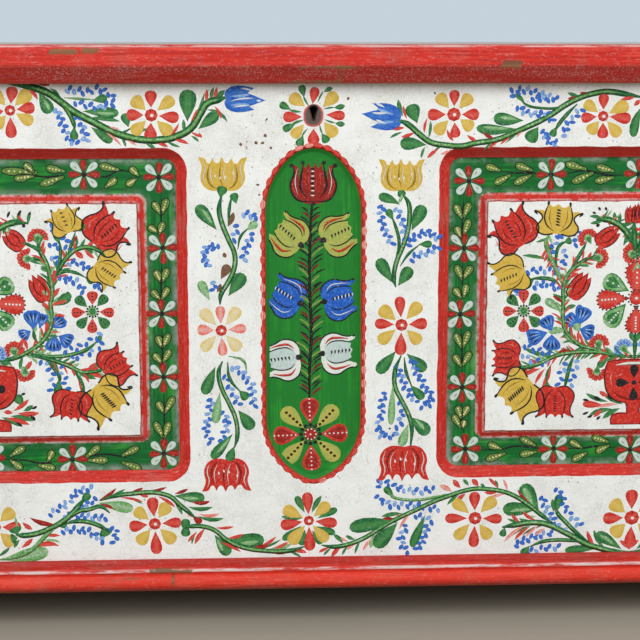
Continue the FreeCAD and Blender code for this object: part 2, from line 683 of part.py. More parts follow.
def end_wall(side):
    """One end: two stiles, two rails and a panel; the front stile has a tongue for the corner."""
    wall = f"end_{side}"
    sign, turn, front_key, back_key = {
        "left": ("-", -90, "high_stile", "low_stile"),
        "right": ("", 90, "low_stile", "high_stile"),
    }[side]
    seating = (f"{sign}end_face", "(inner_front + inner_back) / 2", "box_foot", turn)
    body = wall_blank(wall, "end_run", "end_thickness", "end_opening_length", ["0"])
    grooves = wall_grooves(wall, "end_thickness", "end_sight_length", ["0"], "end_run / 2")
    stock = cut(f"{wall}_stock", body, grooves)
    members = wall_members(
        wall, "end_run", "end_thickness", "end_sight_edge", "end_tenon_length", stock, seating)
    inner = f"{sign}(end_face - corner_tongue_inset - corner_tongue_thickness)"
    outer = f"{sign}(end_face - corner_tongue_inset)"
    tongue = block(
        f"{wall}_tongue", (outer, inner) if sign else (inner, outer),
        ("inner_front - corner_tongue_reach", "inner_front"), ("box_foot", "box_top"))
    front_stile = fuse(f"{wall}_front_stile_whole", [members[front_key], tongue])
    nodes = [
        cut(f"{wall}_front_stile", front_stile, [chest_iron_holes]),
        cut(f"{wall}_back_stile", members[back_key], [chest_iron_holes, chest_board_holes]),
    ]
    for rail in ("top_rail", "bottom_rail"):
        members[rail].Label = f"{wall}_{rail}"
        nodes.append(members[rail])
    nodes.append(raised_panel(f"{wall}_panel", "end_sight_length", "0", seating))
    return nodes


# Keyhole: a teardrop with a round top and a narrow foot.
def teardrop(grow):
    """Corners of the keyhole, grown all round."""
    top = f"(keyhole_top_radius + {grow})"
    foot = f"(keyhole_foot_radius + {grow})"
    lean = "((keyhole_top_radius - keyhole_foot_radius) / keyhole_span)"
    across = f"sqrt(1 - {lean} ^ 2)"
    high = "keyhole_span / 2"
    return [
        (f"{foot} * {across}", f"-{high} + {foot} * {lean}"),
        (f"{top} * {across}", f"{high} + {top} * {lean}", top, "left"),
        ("0", f"{high} + {top}", top, "left"),
        (f"-{top} * {across}", f"{high} + {top} * {lean}"),
        (f"-{foot} * {across}", f"-{high} + {foot} * {lean}", foot, "left"),
        ("0", f"-{high} - {foot}", foot, "left"),
    ]


def keyhole_solid(name, grows, length, y):
    """A bar or a ring with the keyhole's outline that runs inwards from a plane."""
    body = document.addObject("PartDesign::Body", name)
    face = sketch_on(body, "XZ_Plane")
    for grow in grows:
        outline(face, teardrop(grow))
    pad(body, face, length, reverse=True)
    return seat(body, "0", y, "keyhole_z")


keyhole_bore = keyhole_solid(
    "keyhole_bore", ["0"], "front_thickness + lock_plate_thickness", "front_face")
liner_seat = keyhole_solid(
    "liner_seat", ["(liner_wall + liner_fit)"], "liner_depth", "front_face")
keyhole_liner = keyhole_solid("keyhole_liner", ["liner_wall", "0"], "liner_depth", "front_face")


# Planks. A plank's own frame has X along it, Y across it and Z through its thickness.
def plank(name, length, width, thickness, tongue, groove):
    """A plank with a tongue on its far edge, a groove in its near one, or both."""
    half = f"({length} / 2)"
    solid = block(f"{name}_plank", (f"-{half}", half), ("0", width), ("0", thickness))
    middle = f"({thickness} / 2)"
    if tongue:
        lip = block(
            f"{name}_tongue", (f"-{half}", half), (width, f"{width} + plank_tongue"),
            (f"{middle} - plank_tongue / 2", f"{middle} + plank_tongue / 2"))
        solid = fuse(f"{name}_tongued", [solid, lip])
    if groove:
        room = "(plank_tongue / 2 + plank_slack)"
        trench = block(
            f"{name}_trench", (f"-{half}", half), ("0", "plank_tongue + plank_slack"),
            (f"{middle} - {room}", f"{middle} + {room}"))
        solid = cut(f"{name}_grooved", solid, [trench])
    return solid


def back_wall():
    """Three boards, one above the other, nailed to the ends; the top one is notched for straps."""
    width = "(carcass_height / 3)"
    bottom_groove = block(
        "back_bottom_groove", ("-(inner_end + bottom_housing)", "inner_end + bottom_housing"),
        ("inner_back", "inner_back + bottom_housing + housing_slack"),
        ("box_foot + bottom_lift", "box_foot + bottom_head"))
    notches = []
    half = "(knuckle / 2 + barrel_gap)"
    for side, centre in HINGES.items():
        notches.append(block(
            f"strap_notch_{side}", (f"{centre} - {half}", f"{centre} + {half}"),
            ("inner_back", "back_face"), ("box_top - hinge_thickness - strap_clearance", "box_top")))
    nodes = []
    extras = {"lower": [bottom_groove], "middle": [], "upper": notches}
    for index, (name, tools) in enumerate(extras.items()):
        board = plank(
            f"back_board_{name}_rough", "carcass_length", width, "back_thickness",
            tongue=index < 2, groove=index > 0)
        seat(board, "0", "back_face", f"box_foot + {index} * {width}", 90, (1, 0, 0))
        nodes.append(cut(f"back_board_{name}", board, tools + [chest_iron_holes, chest_board_holes]))
    return nodes


def bottom():
    """Three boards along the chest, held in grooves all round; the outer two take the feet."""
    width = "((end_run + 2 * bottom_housing) / 3)"
    nodes = []
    for index, name in enumerate(("front", "middle", "back")):
        board = plank(
            f"bottom_board_{name}_rough", "2 * (inner_end + bottom_housing)", width, "bottom_thickness",
            tongue=index < 2, groove=index > 0)
        seat(board, "0", f"inner_front - bottom_housing + {index} * {width}", "box_foot + bottom_lift")
        nodes.append(cut(f"bottom_board_{name}", board, [foot_sockets]))
    return nodes


# Feet: a turned bun, a collar that passes between the frames and a tenon in the bottom board.
FOOT_SPOTS = {
    f"{end}_{side}": (f"{x} * (end_face - foot_inset)", y)
    for end, y in (("front", "front_face + foot_inset"), ("back", "back_face - foot_inset"))
    for side, x in (("left", -1), ("right", 1))}
FOOT_PAD_SHARE = 0.6
FOOT_NECK_SHARES = (0.8, 0.85)
FOOT_DISC_SHARE = 0.89
FOOT_BULGE_SHARE = 0.45


def foot(name, x, y):
    """One turned foot."""
    body = document.addObject("PartDesign::Body", name)
    collar_top = "foot_height + bottom_lift"
    profile = outline(sketch_on(body, "XZ_Plane"), [
        ("0", "0"),
        (f"{FOOT_PAD_SHARE} * foot_radius", "0", f"{FOOT_BULGE_SHARE} * foot_radius", "left"),
        (f"{FOOT_NECK_SHARES[0]} * foot_radius", f"{FOOT_NECK_SHARES[1]} * foot_height"),
        (f"{FOOT_DISC_SHARE} * foot_radius", f"{FOOT_NECK_SHARES[1]} * foot_height"),
        (f"{FOOT_DISC_SHARE} * foot_radius", "foot_height"),
        ("foot_collar_radius", "foot_height"),
        ("foot_collar_radius", collar_top),
        ("foot_tenon_radius", collar_top),
        ("foot_tenon_radius", f"{collar_top} + foot_tenon_length"),
        ("0", f"{collar_top} + foot_tenon_length"),
    ])
    turned = body.newObject("PartDesign::Revolution", f"{name}_turned")
    turned.Profile = profile
    turned.ReferenceAxis = (profile, ["V_Axis"])
    return seat(body, x, y, "0")


foot_sockets = together("foot_sockets", [
    rod(f"foot_socket_{name}", "foot_tenon_radius + foot_fit", "foot_tenon_length + housing_slack",
        x, y, "box_foot + bottom_lift")
    for name, (x, y) in FOOT_SPOTS.items()])


# Mouldings. A moulding's own frame has X along it, Y outwards from the face that it is fixed to,
# and Z up. Profile shares are (out, up), and the radius of an arc is a share of the height.
BASE_PROFILE_SHARES = [
    (0, 0), (0.75, 0, 0.323, "left"), (0.75, 0.55), (0.64, 0.55), (0.64, 0.59, 0.1, "left"),
    (0.64, 0.78), (0.55, 0.78, 0.28, "right"), (0.14, 1), (0, 1)]
LID_PROFILE_SHARES = [(0, 0), (0.5, 0), (0.95, 0.4, 0.09, "left"), (1, 0.47)]


def moulding(name, profile, length, projection, mitres, seating):
    """A length of moulding, mitred at its low end, its high end or both."""
    body = document.addObject("PartDesign::Body", name)
    pad(body, outline(sketch_on(body, "YZ_Plane"), profile), length, middle=True)
    half = f"({length} / 2)"
    if mitres:
        corners = sketch_on(body, "XY_Plane")
        for sign in mitres:
            inner = f"{sign}({half} - {projection} - overrun)"
            outer = f"{sign}({half} + overrun)"
            outline(corners, [(inner, "-overrun"), (outer, "-overrun"), (outer, f"{projection} + overrun")])
        pocket(body, corners, middle=True)
    return seat(body, *seating)


def moulding_set(prefix, profile, projection, inner_end, inner_front, z):
    """Front and two end mouldings round a box, mitred at the front corners, square at the back."""
    run = f"(back_face - ({inner_front}) + {projection})"
    middle_y = f"(back_face + {inner_front} - {projection}) / 2"
    front_length = f"(2 * ({inner_end} + {projection}))"
    return [
        moulding(f"{prefix}_front", profile, front_length, projection, ("-", ""),
                 ("0", inner_front, z, 180)),
        moulding(f"{prefix}_left", profile, run, projection, ("-",),
                 (f"-({inner_end})", middle_y, z, 90)),
        moulding(f"{prefix}_right", profile, run, projection, ("",),
                 (inner_end, middle_y, z, -90)),
    ]


def scaled_profile(shares, out, up):
    """Outline corners from shares of a moulding's projection and height."""
    corners = []
    for corner in shares:
        place_of_corner = (f"{corner[0]} * {out}", f"{corner[1]} * {up}")
        curve = (f"{corner[2]} * {up}", corner[3]) if len(corner) == 4 else ()
        corners.append(place_of_corner + curve)
    return corners


def base_mouldings():
    """The red base moulding: a broad convex band, a quirk, a bead and a cove."""
    profile = scaled_profile(BASE_PROFILE_SHARES, "base_projection", "base_height")
    return moulding_set(
        "base_moulding", profile, "base_projection", "end_face", "front_face", "box_foot")


def lid_mouldings():
    """The red lid moulding: rounded top edge, fascia and a bevel that slopes back to the box."""
    profile = scaled_profile(LID_PROFILE_SHARES, "lid_moulding_thickness", "lid_moulding_height")
    profile += [
        ("lid_moulding_thickness", "lid_moulding_height - lid_moulding_round",
         "lid_moulding_round", "left"),
        ("lid_moulding_thickness - lid_moulding_round", "lid_moulding_height"),
        ("0", "lid_moulding_height"),
    ]
    return moulding_set(
        "lid_moulding", profile, "lid_moulding_thickness", "lid_inner_end", "lid_inner_front",
        "lid_top - lid_moulding_height")


def lid_boards():
    """Three boards along the lid and the two battens that hold them together."""
    width = "(lid_run / 3)"
    nodes = []
    for index, name in enumerate(("front", "middle", "back")):
        board = plank(
            f"lid_board_{name}_rough", "2 * lid_inner_end", width, "lid_thickness",
            tongue=index < 2, groove=index > 0)
        seat(board, "0", f"lid_inner_front + {index} * {width}", "lid_foot")
        nodes.append(cut(f"lid_board_{name}", board, [lid_iron_holes, lid_board_holes]))
    for side, sign in (("left", -1), ("right", 1)):
        centre = f"{sign} * batten_x"
        batten = block(
            f"lid_batten_{side}_rough",
            (f"{centre} - batten_width / 2", f"{centre} + batten_width / 2"),
            ("inner_front + batten_clearance", "inner_back - batten_clearance"),
            ("lid_foot - batten_thickness", "lid_foot"))
        nodes.append(cut(f"lid_batten_{side}", batten, [lid_board_holes]))
    return nodes


# Hinges: the fixed leaf has the two outer knuckles, the strap the middle one.
STRAP_WAIST_SHARE = 0.24
STRAP_NECK_SHARE = 0.1


def barrel(name, centre, radius, low, high):
    """A length of hinge barrel or its bore, between two places along the axis."""
    return rod(name, radius, f"({high}) - ({low})", f"{centre} + ({low})",
               "hinge_axis_y", "hinge_axis_z", 90, (0, 1, 0))


def hinge(side):
    """Fixed leaf, strap and pin of one hinge."""
    centre = HINGES[side]
    half = "(hinge_width / 2)"
    inner = "(knuckle / 2)"
    bore = barrel(f"hinge_bore_{side}", centre, "pin_radius + pin_fit", f"-{half}", half)
    plate = block(
        f"hinge_plate_{side}", (f"{centre} - {half}", f"{centre} + {half}"),
        ("back_face", "back_face + hinge_thickness"), ("hinge_axis_z - hinge_leaf_drop", "hinge_axis_z"))
    outer_knuckles = [
        barrel(f"hinge_knuckle_{side}_1", centre, "barrel_radius", f"-{half}", f"-{half} + knuckle"),
        barrel(f"hinge_knuckle_{side}_2", centre, "barrel_radius", f"{half} - knuckle", half)]
    relief = block(
        f"hinge_relief_{side}",
        (f"{centre} - {inner} - barrel_gap", f"{centre} + {inner} + barrel_gap"),
        ("back_face", "back_face + hinge_thickness"),
        ("hinge_axis_z - barrel_radius - hinge_thickness", "hinge_axis_z"))
    leaf = cut(
        f"hinge_leaf_{side}", fuse(f"hinge_leaf_{side}_form", [plate] + outer_knuckles),
        [bore, relief, chest_iron_holes])

    body = document.addObject("PartDesign::Body", f"hinge_strap_plate_{side}")
    broad, waist, neck = "strap_width / 2", f"{STRAP_WAIST_SHARE} * strap_width", inner
    start = "back_thickness + strap_clearance"
    shoulder = f"{start} + {STRAP_NECK_SHARE} * strap_reach"
    tip = "strap_reach - strap_tip_radius"
    pad(body, outline(sketch_on(body, "XY_Plane"), [
        (f"-({neck})", "hinge_axis_out"), (f"-({neck})", f"-({start})"),
        (f"-({broad})", f"-({start})"), (f"-({broad})", f"-({shoulder})"),
        (f"-({waist})", f"-({tip} - strap_tip_radius)"),
        ("-strap_tip_radius", f"-({tip})", "strap_tip_radius", "left"),
        ("0", "-strap_reach", "strap_tip_radius", "left"),
        ("strap_tip_radius", f"-({tip})"),
        (waist, f"-({tip} - strap_tip_radius)"),
        (broad, f"-({shoulder})"), (broad, f"-({start})"),
        (neck, f"-({start})"), (neck, "hinge_axis_out"),
    ]), "hinge_thickness")
    seat(body, centre, "back_face", "box_top - hinge_thickness")
    middle_knuckle = barrel(f"hinge_knuckle_{side}_3", centre, "barrel_radius", f"-{inner}", inner)
    strap = cut(
        f"hinge_strap_{side}", fuse(f"hinge_strap_{side}_form", [body, middle_knuckle]),
        [bore, lid_iron_holes])

    shank = barrel(f"hinge_pin_shank_{side}", centre, "pin_radius", f"-{half}", half)
    heads = [
        barrel(f"hinge_pin_head_{side}_1", centre, "pin_head_radius",
               f"-{half} - pin_head_thickness", f"-{half}"),
        barrel(f"hinge_pin_head_{side}_2", centre, "pin_head_radius",
               half, f"{half} + pin_head_thickness")]
    pin = fuse(f"hinge_pin_{side}", [shank] + heads)
    return [leaf, strap, pin]


# Lock: plate with two guides, cap, sliding bolt, and the staple under the lid.
GUIDE_SHARES = (0.86, 0.28)
TALON_SHARES = (0.66, 0.52)


def lock():
    """The lock on the inside of the top rail and the staple that drops into it."""
    flange = "(lock_width / 2 + lock_flange)"
    height = ("lock_foot", "lock_top")
    plate = block("lock_plate_sheet", (f"-{flange}", flange), ("inner_front", "lock_plate_face"), height)
    guides = []
    bolt_low, bolt_high = "bolt_z - bolt_height / 2", "bolt_z + bolt_height / 2"
    bolt_near, bolt_far = "bolt_y - bolt_thickness / 2", "bolt_y + bolt_thickness / 2"
    for index, share in enumerate(GUIDE_SHARES, start=1):
        start = f"-{share} * bolt_tail"
        guides.append(block(
            f"lock_guide_{index}", (start, f"{start} + guide_length"),
            ("lock_plate_face", f"{bolt_far} + guide_wall"),
            (f"{bolt_low} - guide_wall", f"{bolt_high} + guide_wall")))
    guide_bore = block(
        "lock_guide_bore", ("-bolt_tail", "bolt_tip"),
        (f"{bolt_near} - bolt_fit", f"{bolt_far} + bolt_fit"),
        (f"{bolt_low} - bolt_fit", f"{bolt_high} + bolt_fit"))
    lock_plate = cut(
        "lock_plate", fuse("lock_plate_form", [plate] + guides),
        [guide_bore, keyhole_bore, chest_iron_holes])

    half = "(lock_width / 2)"
    shell = block("lock_cap_shell", (f"-{half}", half), ("lock_plate_face", "lock_cap_face"), height)
    ears = block(
        "lock_cap_flange", (f"-{flange}", flange), ("lock_plate_face", "lock_plate_face + lock_wall"), height)
    hollow = block(
        "lock_cap_hollow", (f"-{half} + lock_wall", f"{half} - lock_wall"),
        ("lock_plate_face", "lock_cap_face - lock_wall"),
        ("lock_foot + lock_wall", "lock_top - lock_wall"))
    slot_half = "(staple_thickness / 2 + slot_clearance)"
    slot_reach = "(staple_half_width + slot_clearance)"
    slot = block(
        "lock_cap_slot", (f"-{slot_half}", slot_half), (f"bolt_y - {slot_reach}", f"bolt_y + {slot_reach}"),
        ("lock_top - lock_wall", "lock_top"))
    lock_cap = cut("lock_cap", fuse("lock_cap_form", [shell, ears]), [hollow, slot, chest_iron_holes])

    bar = block("lock_bolt_bar", ("-bolt_tail", "bolt_tip"), (bolt_near, bolt_far), (bolt_low, bolt_high))
    talon = block(
        "lock_bolt_talon", (f"-{TALON_SHARES[0]} * bolt_tail", f"-{TALON_SHARES[1]} * bolt_tail"),
        (bolt_near, bolt_far), (f"{bolt_low} - bolt_talon_drop", bolt_low))
    lock_bolt = fuse("lock_bolt", [bar, talon])

    plate_half = "(staple_plate_length / 2)"
    staple_plate = block(
        "staple_plate", (f"-{plate_half}", plate_half),
        ("bolt_y - staple_half_width", "bolt_y + staple_half_width"), ("staple_plate_foot", "box_top"))
    loop = block(
        "staple_loop", ("-staple_thickness / 2", "staple_thickness / 2"),
        ("bolt_y - staple_half_width", "bolt_y + staple_half_width"), ("staple_foot", "box_top"))
    eye = block(
        "staple_eye", ("-staple_thickness / 2", "staple_thickness / 2"),
        ("bolt_y - staple_half_gap", "bolt_y + staple_half_gap"), ("staple_hole_foot", "staple_plate_foot"))
    bent = cut("staple_bent", loop, [eye])
    staple = cut("staple", fuse("staple_form", [staple_plate, bent]), [lid_iron_holes])
    return [lock_plate, lock_cap, lock_bolt, staple]


# Till: a small box across the right-hand end, with a lid that turns on two pintles.
till_pintle_bores = together("till_pintle_bores", [
    rod(f"till_pintle_bore_{name}", "till_pintle_radius + pin_fit", "till_pintle_length + housing_slack",
        "till_axis_x", y, "till_axis_z", turn, (1, 0, 0))
    for name, y, turn in (("front", "till_front_y", 90), ("back", "till_back_y", -90))])


def till():
    """Five fixed boards and the till's lid."""
    floor = ("till_foot + till_bottom_lift", "till_foot + till_bottom_lift + till_bottom_thickness")
    lid_top = "till_axis_z + till_lid_thickness / 2"
    across = ("till_side_face", "inner_end")
    along = ("till_front_y", "till_back_y")
    side = ("till_side_face", "till_side_face + till_board")
    bottom_board = block(
        "till_bottom", ("till_side_face + till_board - till_housing", "till_inner_face + till_housing"),
        ("till_front_y - till_housing", "till_back_y + till_housing"), floor)
    boards = {
        "till_front": (across, ("inner_front", "till_front_y"), ("till_foot", lid_top)),
        "till_back": (across, ("till_back_y", "inner_back"), ("till_foot", lid_top)),
        "till_side": (side, along, ("till_foot", "till_box_top")),
        "till_end": (("till_inner_face", "inner_end"), along, ("till_foot", lid_top)),
    }
    nodes = [bottom_board]
    for name, spans in boards.items():
        nodes.append(cut(
            name, block(f"{name}_rough", *spans), [bottom_board, till_pintle_bores, chest_iron_holes]))

    near, far = "till_front_y + till_lid_gap", "till_back_y - till_lid_gap"
    leaf = block(
        "till_lid_leaf", ("till_side_face", "till_axis_x"), (near, far), ("till_box_top", lid_top))
    roll = rod(
        "till_lid_roll", "till_lid_thickness / 2", f"({far}) - ({near})", "till_axis_x", near,
        "till_axis_z", -90, (1, 0, 0))
    reach = "(till_pintle_length + till_lid_gap)"
    pintles = rod(
        "till_lid_pintles", "till_pintle_radius", f"({far}) - ({near}) + 2 * {reach}", "till_axis_x",
        f"{near} - {reach}", "till_axis_z", -90, (1, 0, 0))
    nodes.append(fuse("till_lid", [leaf, roll, pintles]))
    return nodes


nodes = front_wall() + end_wall("left") + end_wall("right") + back_wall() + bottom()
nodes += [foot(f"foot_{name}", x, y) for name, (x, y) in FOOT_SPOTS.items()]
nodes += base_mouldings() + lid_boards() + lid_mouldings()
nodes += hinge("left") + hinge("right") + [keyhole_liner] + lock() + till()
nodes += [chest_iron_nails, chest_board_nails, lid_iron_nails, lid_board_nails]

document.recompute()
failed = [item.Name for item in document.Objects if {"Invalid", "Error"} & set(item.State)]
if failed:
    raise RuntimeError(f"these features failed: {failed}")
for node in nodes:
    if node.Shape.isNull() or not node.Shape.isValid() or not node.Shape.Solids:
        raise RuntimeError(f"{node.Label} has no valid solid")

for node in nodes:
    node.Shape.exportStep(f"parts/{node.Label}.step")
    box = node.Shape.BoundBox
    spans = " x ".join(f"{length:.1f}" for length in (box.XLength, box.YLength, box.ZLength))
    print(f"{node.Label}: {len(node.Shape.Solids)} solid(s), {spans}")
whole = Part.makeCompound([node.Shape for node in nodes]).BoundBox
print(f"{len(nodes)} nodes, {whole}")
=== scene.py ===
"""Paints a framed wedding chest in the folk manner and sets it in a plain studio."""

import math
import random

import bpy
from bpy.props import FloatProperty, FloatVectorProperty
from mathutils import Matrix, Vector


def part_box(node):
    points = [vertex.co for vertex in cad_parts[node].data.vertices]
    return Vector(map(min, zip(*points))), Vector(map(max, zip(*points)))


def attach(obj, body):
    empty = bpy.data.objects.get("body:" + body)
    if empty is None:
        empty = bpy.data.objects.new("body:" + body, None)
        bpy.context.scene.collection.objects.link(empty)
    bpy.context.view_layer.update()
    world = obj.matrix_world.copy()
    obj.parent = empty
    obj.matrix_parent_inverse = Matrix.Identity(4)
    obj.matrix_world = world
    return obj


bl_info = {
    "name": "Painted Wedding Chest",
    "version": (1, 0, 0),
    "blender": (4, 5, 0),
    "location": "3D View > Sidebar > Chest",
    "description": "Paints a framed wedding chest and sets it in a plain studio",
    "category": "Object",
}

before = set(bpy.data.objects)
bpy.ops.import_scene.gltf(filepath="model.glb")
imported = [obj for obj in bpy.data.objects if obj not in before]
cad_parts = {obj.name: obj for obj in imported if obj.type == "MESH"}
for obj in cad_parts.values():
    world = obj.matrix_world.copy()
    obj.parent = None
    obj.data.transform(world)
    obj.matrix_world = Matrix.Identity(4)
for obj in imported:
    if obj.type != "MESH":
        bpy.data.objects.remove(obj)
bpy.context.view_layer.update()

MM = 0.001


def srgb(red, green, blue):
    """A colour given as the eye sees it, from 0 to 255, as the linear colour of a shader."""
    def linear(level):
        share = level / 255
        return share / 12.92 if share <= 0.04045 else ((share + 0.055) / 1.055) ** 2.4
    return tuple(linear(level) for level in (red, green, blue))


def colour_property(name, description, red, green, blue):
    """A colour that a user may change."""
    return FloatVectorProperty(
        name=name, description=description, subtype="COLOR", size=3, min=0, max=1,
        default=srgb(red, green, blue))


def length_property(name, description, millimetres):
    """A length that a user may change."""
    return FloatProperty(
        name=name, description=description, default=millimetres * MM, unit="LENGTH", precision=5)


class ChestColours(bpy.types.PropertyGroup):
    """Paint, wood and iron."""

    ground: colour_property("Ground", "White ground of the front and the ends", 248, 251, 249)
    ground_stain: colour_property("Ground stain", "Grime in the white ground", 192, 192, 184)
    chip: colour_property("Chips", "Wood and old filler where paint is gone", 118, 84, 62)
    red: colour_property("Red", "Mouldings, bevels and petals", 200, 42, 30)
    dark_red: colour_property("Dark red", "Shaded red and the petals on green", 142, 32, 24)
    pink: colour_property("Pink", "Thin or rubbed red", 232, 112, 98)
    channel: colour_property("Channel green", "Flat green round the fields and in the oval", 6, 104, 42)
    channel_light: colour_property("Channel light green", "Streaks in that green", 44, 150, 42)
    green: colour_property("Green", "Stems and leaves", 28, 108, 58)
    leaf: colour_property("Leaf green", "Light strokes on the leaves", 104, 170, 92)
    russet: colour_property("Russet", "Thin strokes in the oval", 98, 38, 28)
    ochre: colour_property("Ochre", "Lines on the yellow tulips", 158, 122, 40)
    yellow: colour_property("Yellow", "Ochre petals", 212, 177, 68)
    sand: colour_property("Sand", "Thin places in the ochre", 226, 202, 128)
    olive: colour_property("Olive", "Petals painted thinly on green", 166, 178, 88)
    blue: colour_property("Blue", "Dark blue dabs", 28, 92, 192)
    sky: colour_property("Light blue", "Light blue dabs", 92, 152, 222)
    moss: colour_property("Moss green", "Pods in the channels", 92, 132, 56)
    black: colour_property("Black", "Outlines, seeds and stems", 30, 28, 30)
    frost: colour_property("Frost", "Thin white on green", 190, 210, 206)
    white: colour_property("White", "Highlights and petals on green", 226, 230, 224)
    lid_paint: colour_property("Lid paint", "Worn grey white of the lid's top", 196, 194, 184)
    pine: colour_property("Pine", "Unpainted wood", 176, 134, 88)
    pine_dark: colour_property("Pine grain", "Dark grain of unpainted wood", 116, 78, 46)
    iron: colour_property("Iron", "Hinges, lock and nails", 62, 58, 56)
    rust: colour_property("Rust", "Brown rust on the iron", 104, 66, 44)


class StrokeSizes(bpy.types.PropertyGroup):
    """How thick the paint stands."""

    height: length_property("Stroke height", "Lowest stroke above the ground", 0.10)
    layer: length_property("Layer", "Each stroke over another one", 0.09)
    sink: length_property("Sink", "How far a stroke reaches into the ground", 0.05)


class StudioSettings(bpy.types.PropertyGroup):
    """Camera, floor and light."""

    camera_x: length_property("Camera X", "Camera to the left of the chest's centre", -82.7)
    camera_y: length_property("Camera Y", "Camera in front of the chest's centre", -1947.6)
    camera_z: length_property("Camera Z", "Camera above the floor", 592.7)
    camera_tilt: FloatProperty(
        name="Camera tilt", description="Angle below level", default=math.radians(9.479), unit="ROTATION")
    camera_turn: FloatProperty(
        name="Camera turn", description="Angle to the right of square", default=math.radians(3.055),
        unit="ROTATION")
    lens: FloatProperty(name="Lens", description="Focal length", default=95.6, unit="CAMERA")
    floor: colour_property("Floor", "Plain pale floor", 172, 166, 152)
    backdrop: colour_property("Backdrop", "Pale blue grey behind the chest", 197, 210, 220)
    key_power: FloatProperty(
        name="Key light", description="Soft light above the camera", default=65, unit="POWER")
    fill: FloatProperty(name="Fill light", description="Even light from all round", default=0.4)


def colours():
    """The colours as they are set in the scene."""
    return bpy.context.scene.chest_colours


class Wire:
    """A socket's value in a shader, which can be used in a sum."""

    def __init__(self, shader, socket):
        self.shader = shader
        self.socket = socket

    def __add__(self, other):
        return self.shader.sum("ADD", self, other)

    __radd__ = __add__

    def __sub__(self, other):
        return self.shader.sum("SUBTRACT", self, other)

    def __rsub__(self, other):
        return self.shader.sum("SUBTRACT", other, self)

    def __mul__(self, other):
        return self.shader.sum("MULTIPLY", self, other)

    def __abs__(self):
        return self.shader.sum("ABSOLUTE", self)


class Nodes:
    """The nodes of a material or of the world."""

    def __init__(self, tree):
        self.tree = tree

    def plug(self, item, socket):
        """Link a wire to a socket, or set the socket to a value."""
        if isinstance(item, Wire):
            self.tree.links.new(item.socket, socket)
        else:
            socket.default_value = item

    def node(self, kind, settings, *values, out=0, **named):
        """Any node: its type, its settings, and the values or links of its sockets."""
        made = self.tree.nodes.new(kind)
        for key, setting in settings.items():
            setattr(made, key, setting)
        for index, item in enumerate(values):
            self.plug(item, made.inputs[index])
        for key, item in named.items():
            self.plug(item, self.socket(made.inputs, key))
        return Wire(self, self.socket(made.outputs, out))

    @staticmethod
    def socket(sockets, key):
        """A socket by its place, its name or its identifier."""
        return next((socket for socket in sockets if socket.identifier == key), None) or sockets[key]

    def sum(self, operation, *values):
        """One step of a sum with numbers."""
        return self.node("ShaderNodeMath", {"operation": operation}, *values)


class Shader(Nodes):
    """The nodes of one material."""

    def __init__(self, name):
        self.material = bpy.data.materials.new(name)
        self.material.use_nodes = True
        super().__init__(self.material.node_tree)
        self.feed("Specular IOR Level", 0.25)
        place = self.node("ShaderNodeTexCoord", {}, out="Object")
        self.place = self.node("ShaderNodeVectorMath", {"operation": "SCALE"}, place, Scale=1 / MM)
        self.x, self.y, self.z = (
            self.node("ShaderNodeSeparateXYZ", {}, self.place, out=axis) for axis in "XYZ")

    def feed(self, name, item):
        """Set one socket of the surface."""
        self.plug(item, self.tree.nodes["Principled BSDF"].inputs[name])

    def finished(self, colour, roughness, height, distance, strength):
        """The material, with its colour, its roughness and its bumps."""
        self.feed("Base Color", colour)
        self.feed("Roughness", roughness)
        self.feed("Normal", self.node(
            "ShaderNodeBump", {}, Strength=strength, Distance=distance, Height=height, out="Normal"))
        return self.material

    def stretched(self, **scale):
        """The place on the piece in millimetres, with the named axes squeezed."""
        return self.node(
            "ShaderNodeMapping", {"vector_type": "POINT"}, self.place,
            Scale=tuple(scale.get(axis, 1) for axis in "xyz"))

    def noise(self, scale, vector=None, detail=2, roughness=0.5):
        """Cloudy noise from 0 to 1, with features of about 1 / scale millimetres."""
        return self.node(
            "ShaderNodeTexNoise", {}, Vector=vector or self.place, Scale=scale, Detail=detail,
            Roughness=roughness)

    def patches(self, scale, low, high, vector=None, detail=2, roughness=0.5):
        """Patches where noise rises from low to high."""
        return self.step(self.noise(scale, vector, detail, roughness), low, high)

    def cells(self, scale, feature="F1", vector=None):
        """Distance in a pattern of cells."""
        return self.node(
            "ShaderNodeTexVoronoi", {"feature": feature}, Vector=vector or self.place, Scale=scale,
            out="Distance")

    def step(self, item, low, high):
        """A smooth step that rises from 0 at low to 1 at high, or falls if high is the lower one."""
        ends = (high, low, 1.0, 0.0) if low > high else (low, high, 0.0, 1.0)
        return self.node("ShaderNodeMapRange", {"interpolation_type": "SMOOTHSTEP"}, item, *ends)

    def band(self, item, start, full, fading, end):
        """A band that is full between two values and fades beyond them."""
        return self.step(item, start, full) * self.step(item, end, fading)

    def mix(self, first, second, share):
        """A colour between two others."""
        first, second = (item if isinstance(item, Wire) else (*item, 1) for item in (first, second))
        return self.node(
            "ShaderNodeMix", {"data_type": "RGBA"}, out="Result_Color",
            Factor_Float=share, A_Color=first, B_Color=second)

    def over(self, colour, *coats):
        """A colour under coats of paint, each given as its colour and its share."""
        for coat, share in coats:
            colour = self.mix(colour, coat, share)
        return colour

    def box_distance(self, across, up, half_across, half_up, radius=0.0):
        """Signed distance to a rectangle with round corners, negative inside."""
        wide = abs(across) - (half_across - radius)
        tall = abs(up) - (half_up - radius)
        outside_wide = self.sum("MAXIMUM", wide, 0.0)
        outside_tall = self.sum("MAXIMUM", tall, 0.0)
        outside = self.sum("SQRT", outside_wide * outside_wide + outside_tall * outside_tall)
        inside = self.sum("MINIMUM", self.sum("MAXIMUM", wide, tall), 0.0)
        return outside + inside - radius


def shade(colour, share):
    """A darker or lighter form of a colour."""
    return tuple(min(level * share, 1.0) for level in colour)


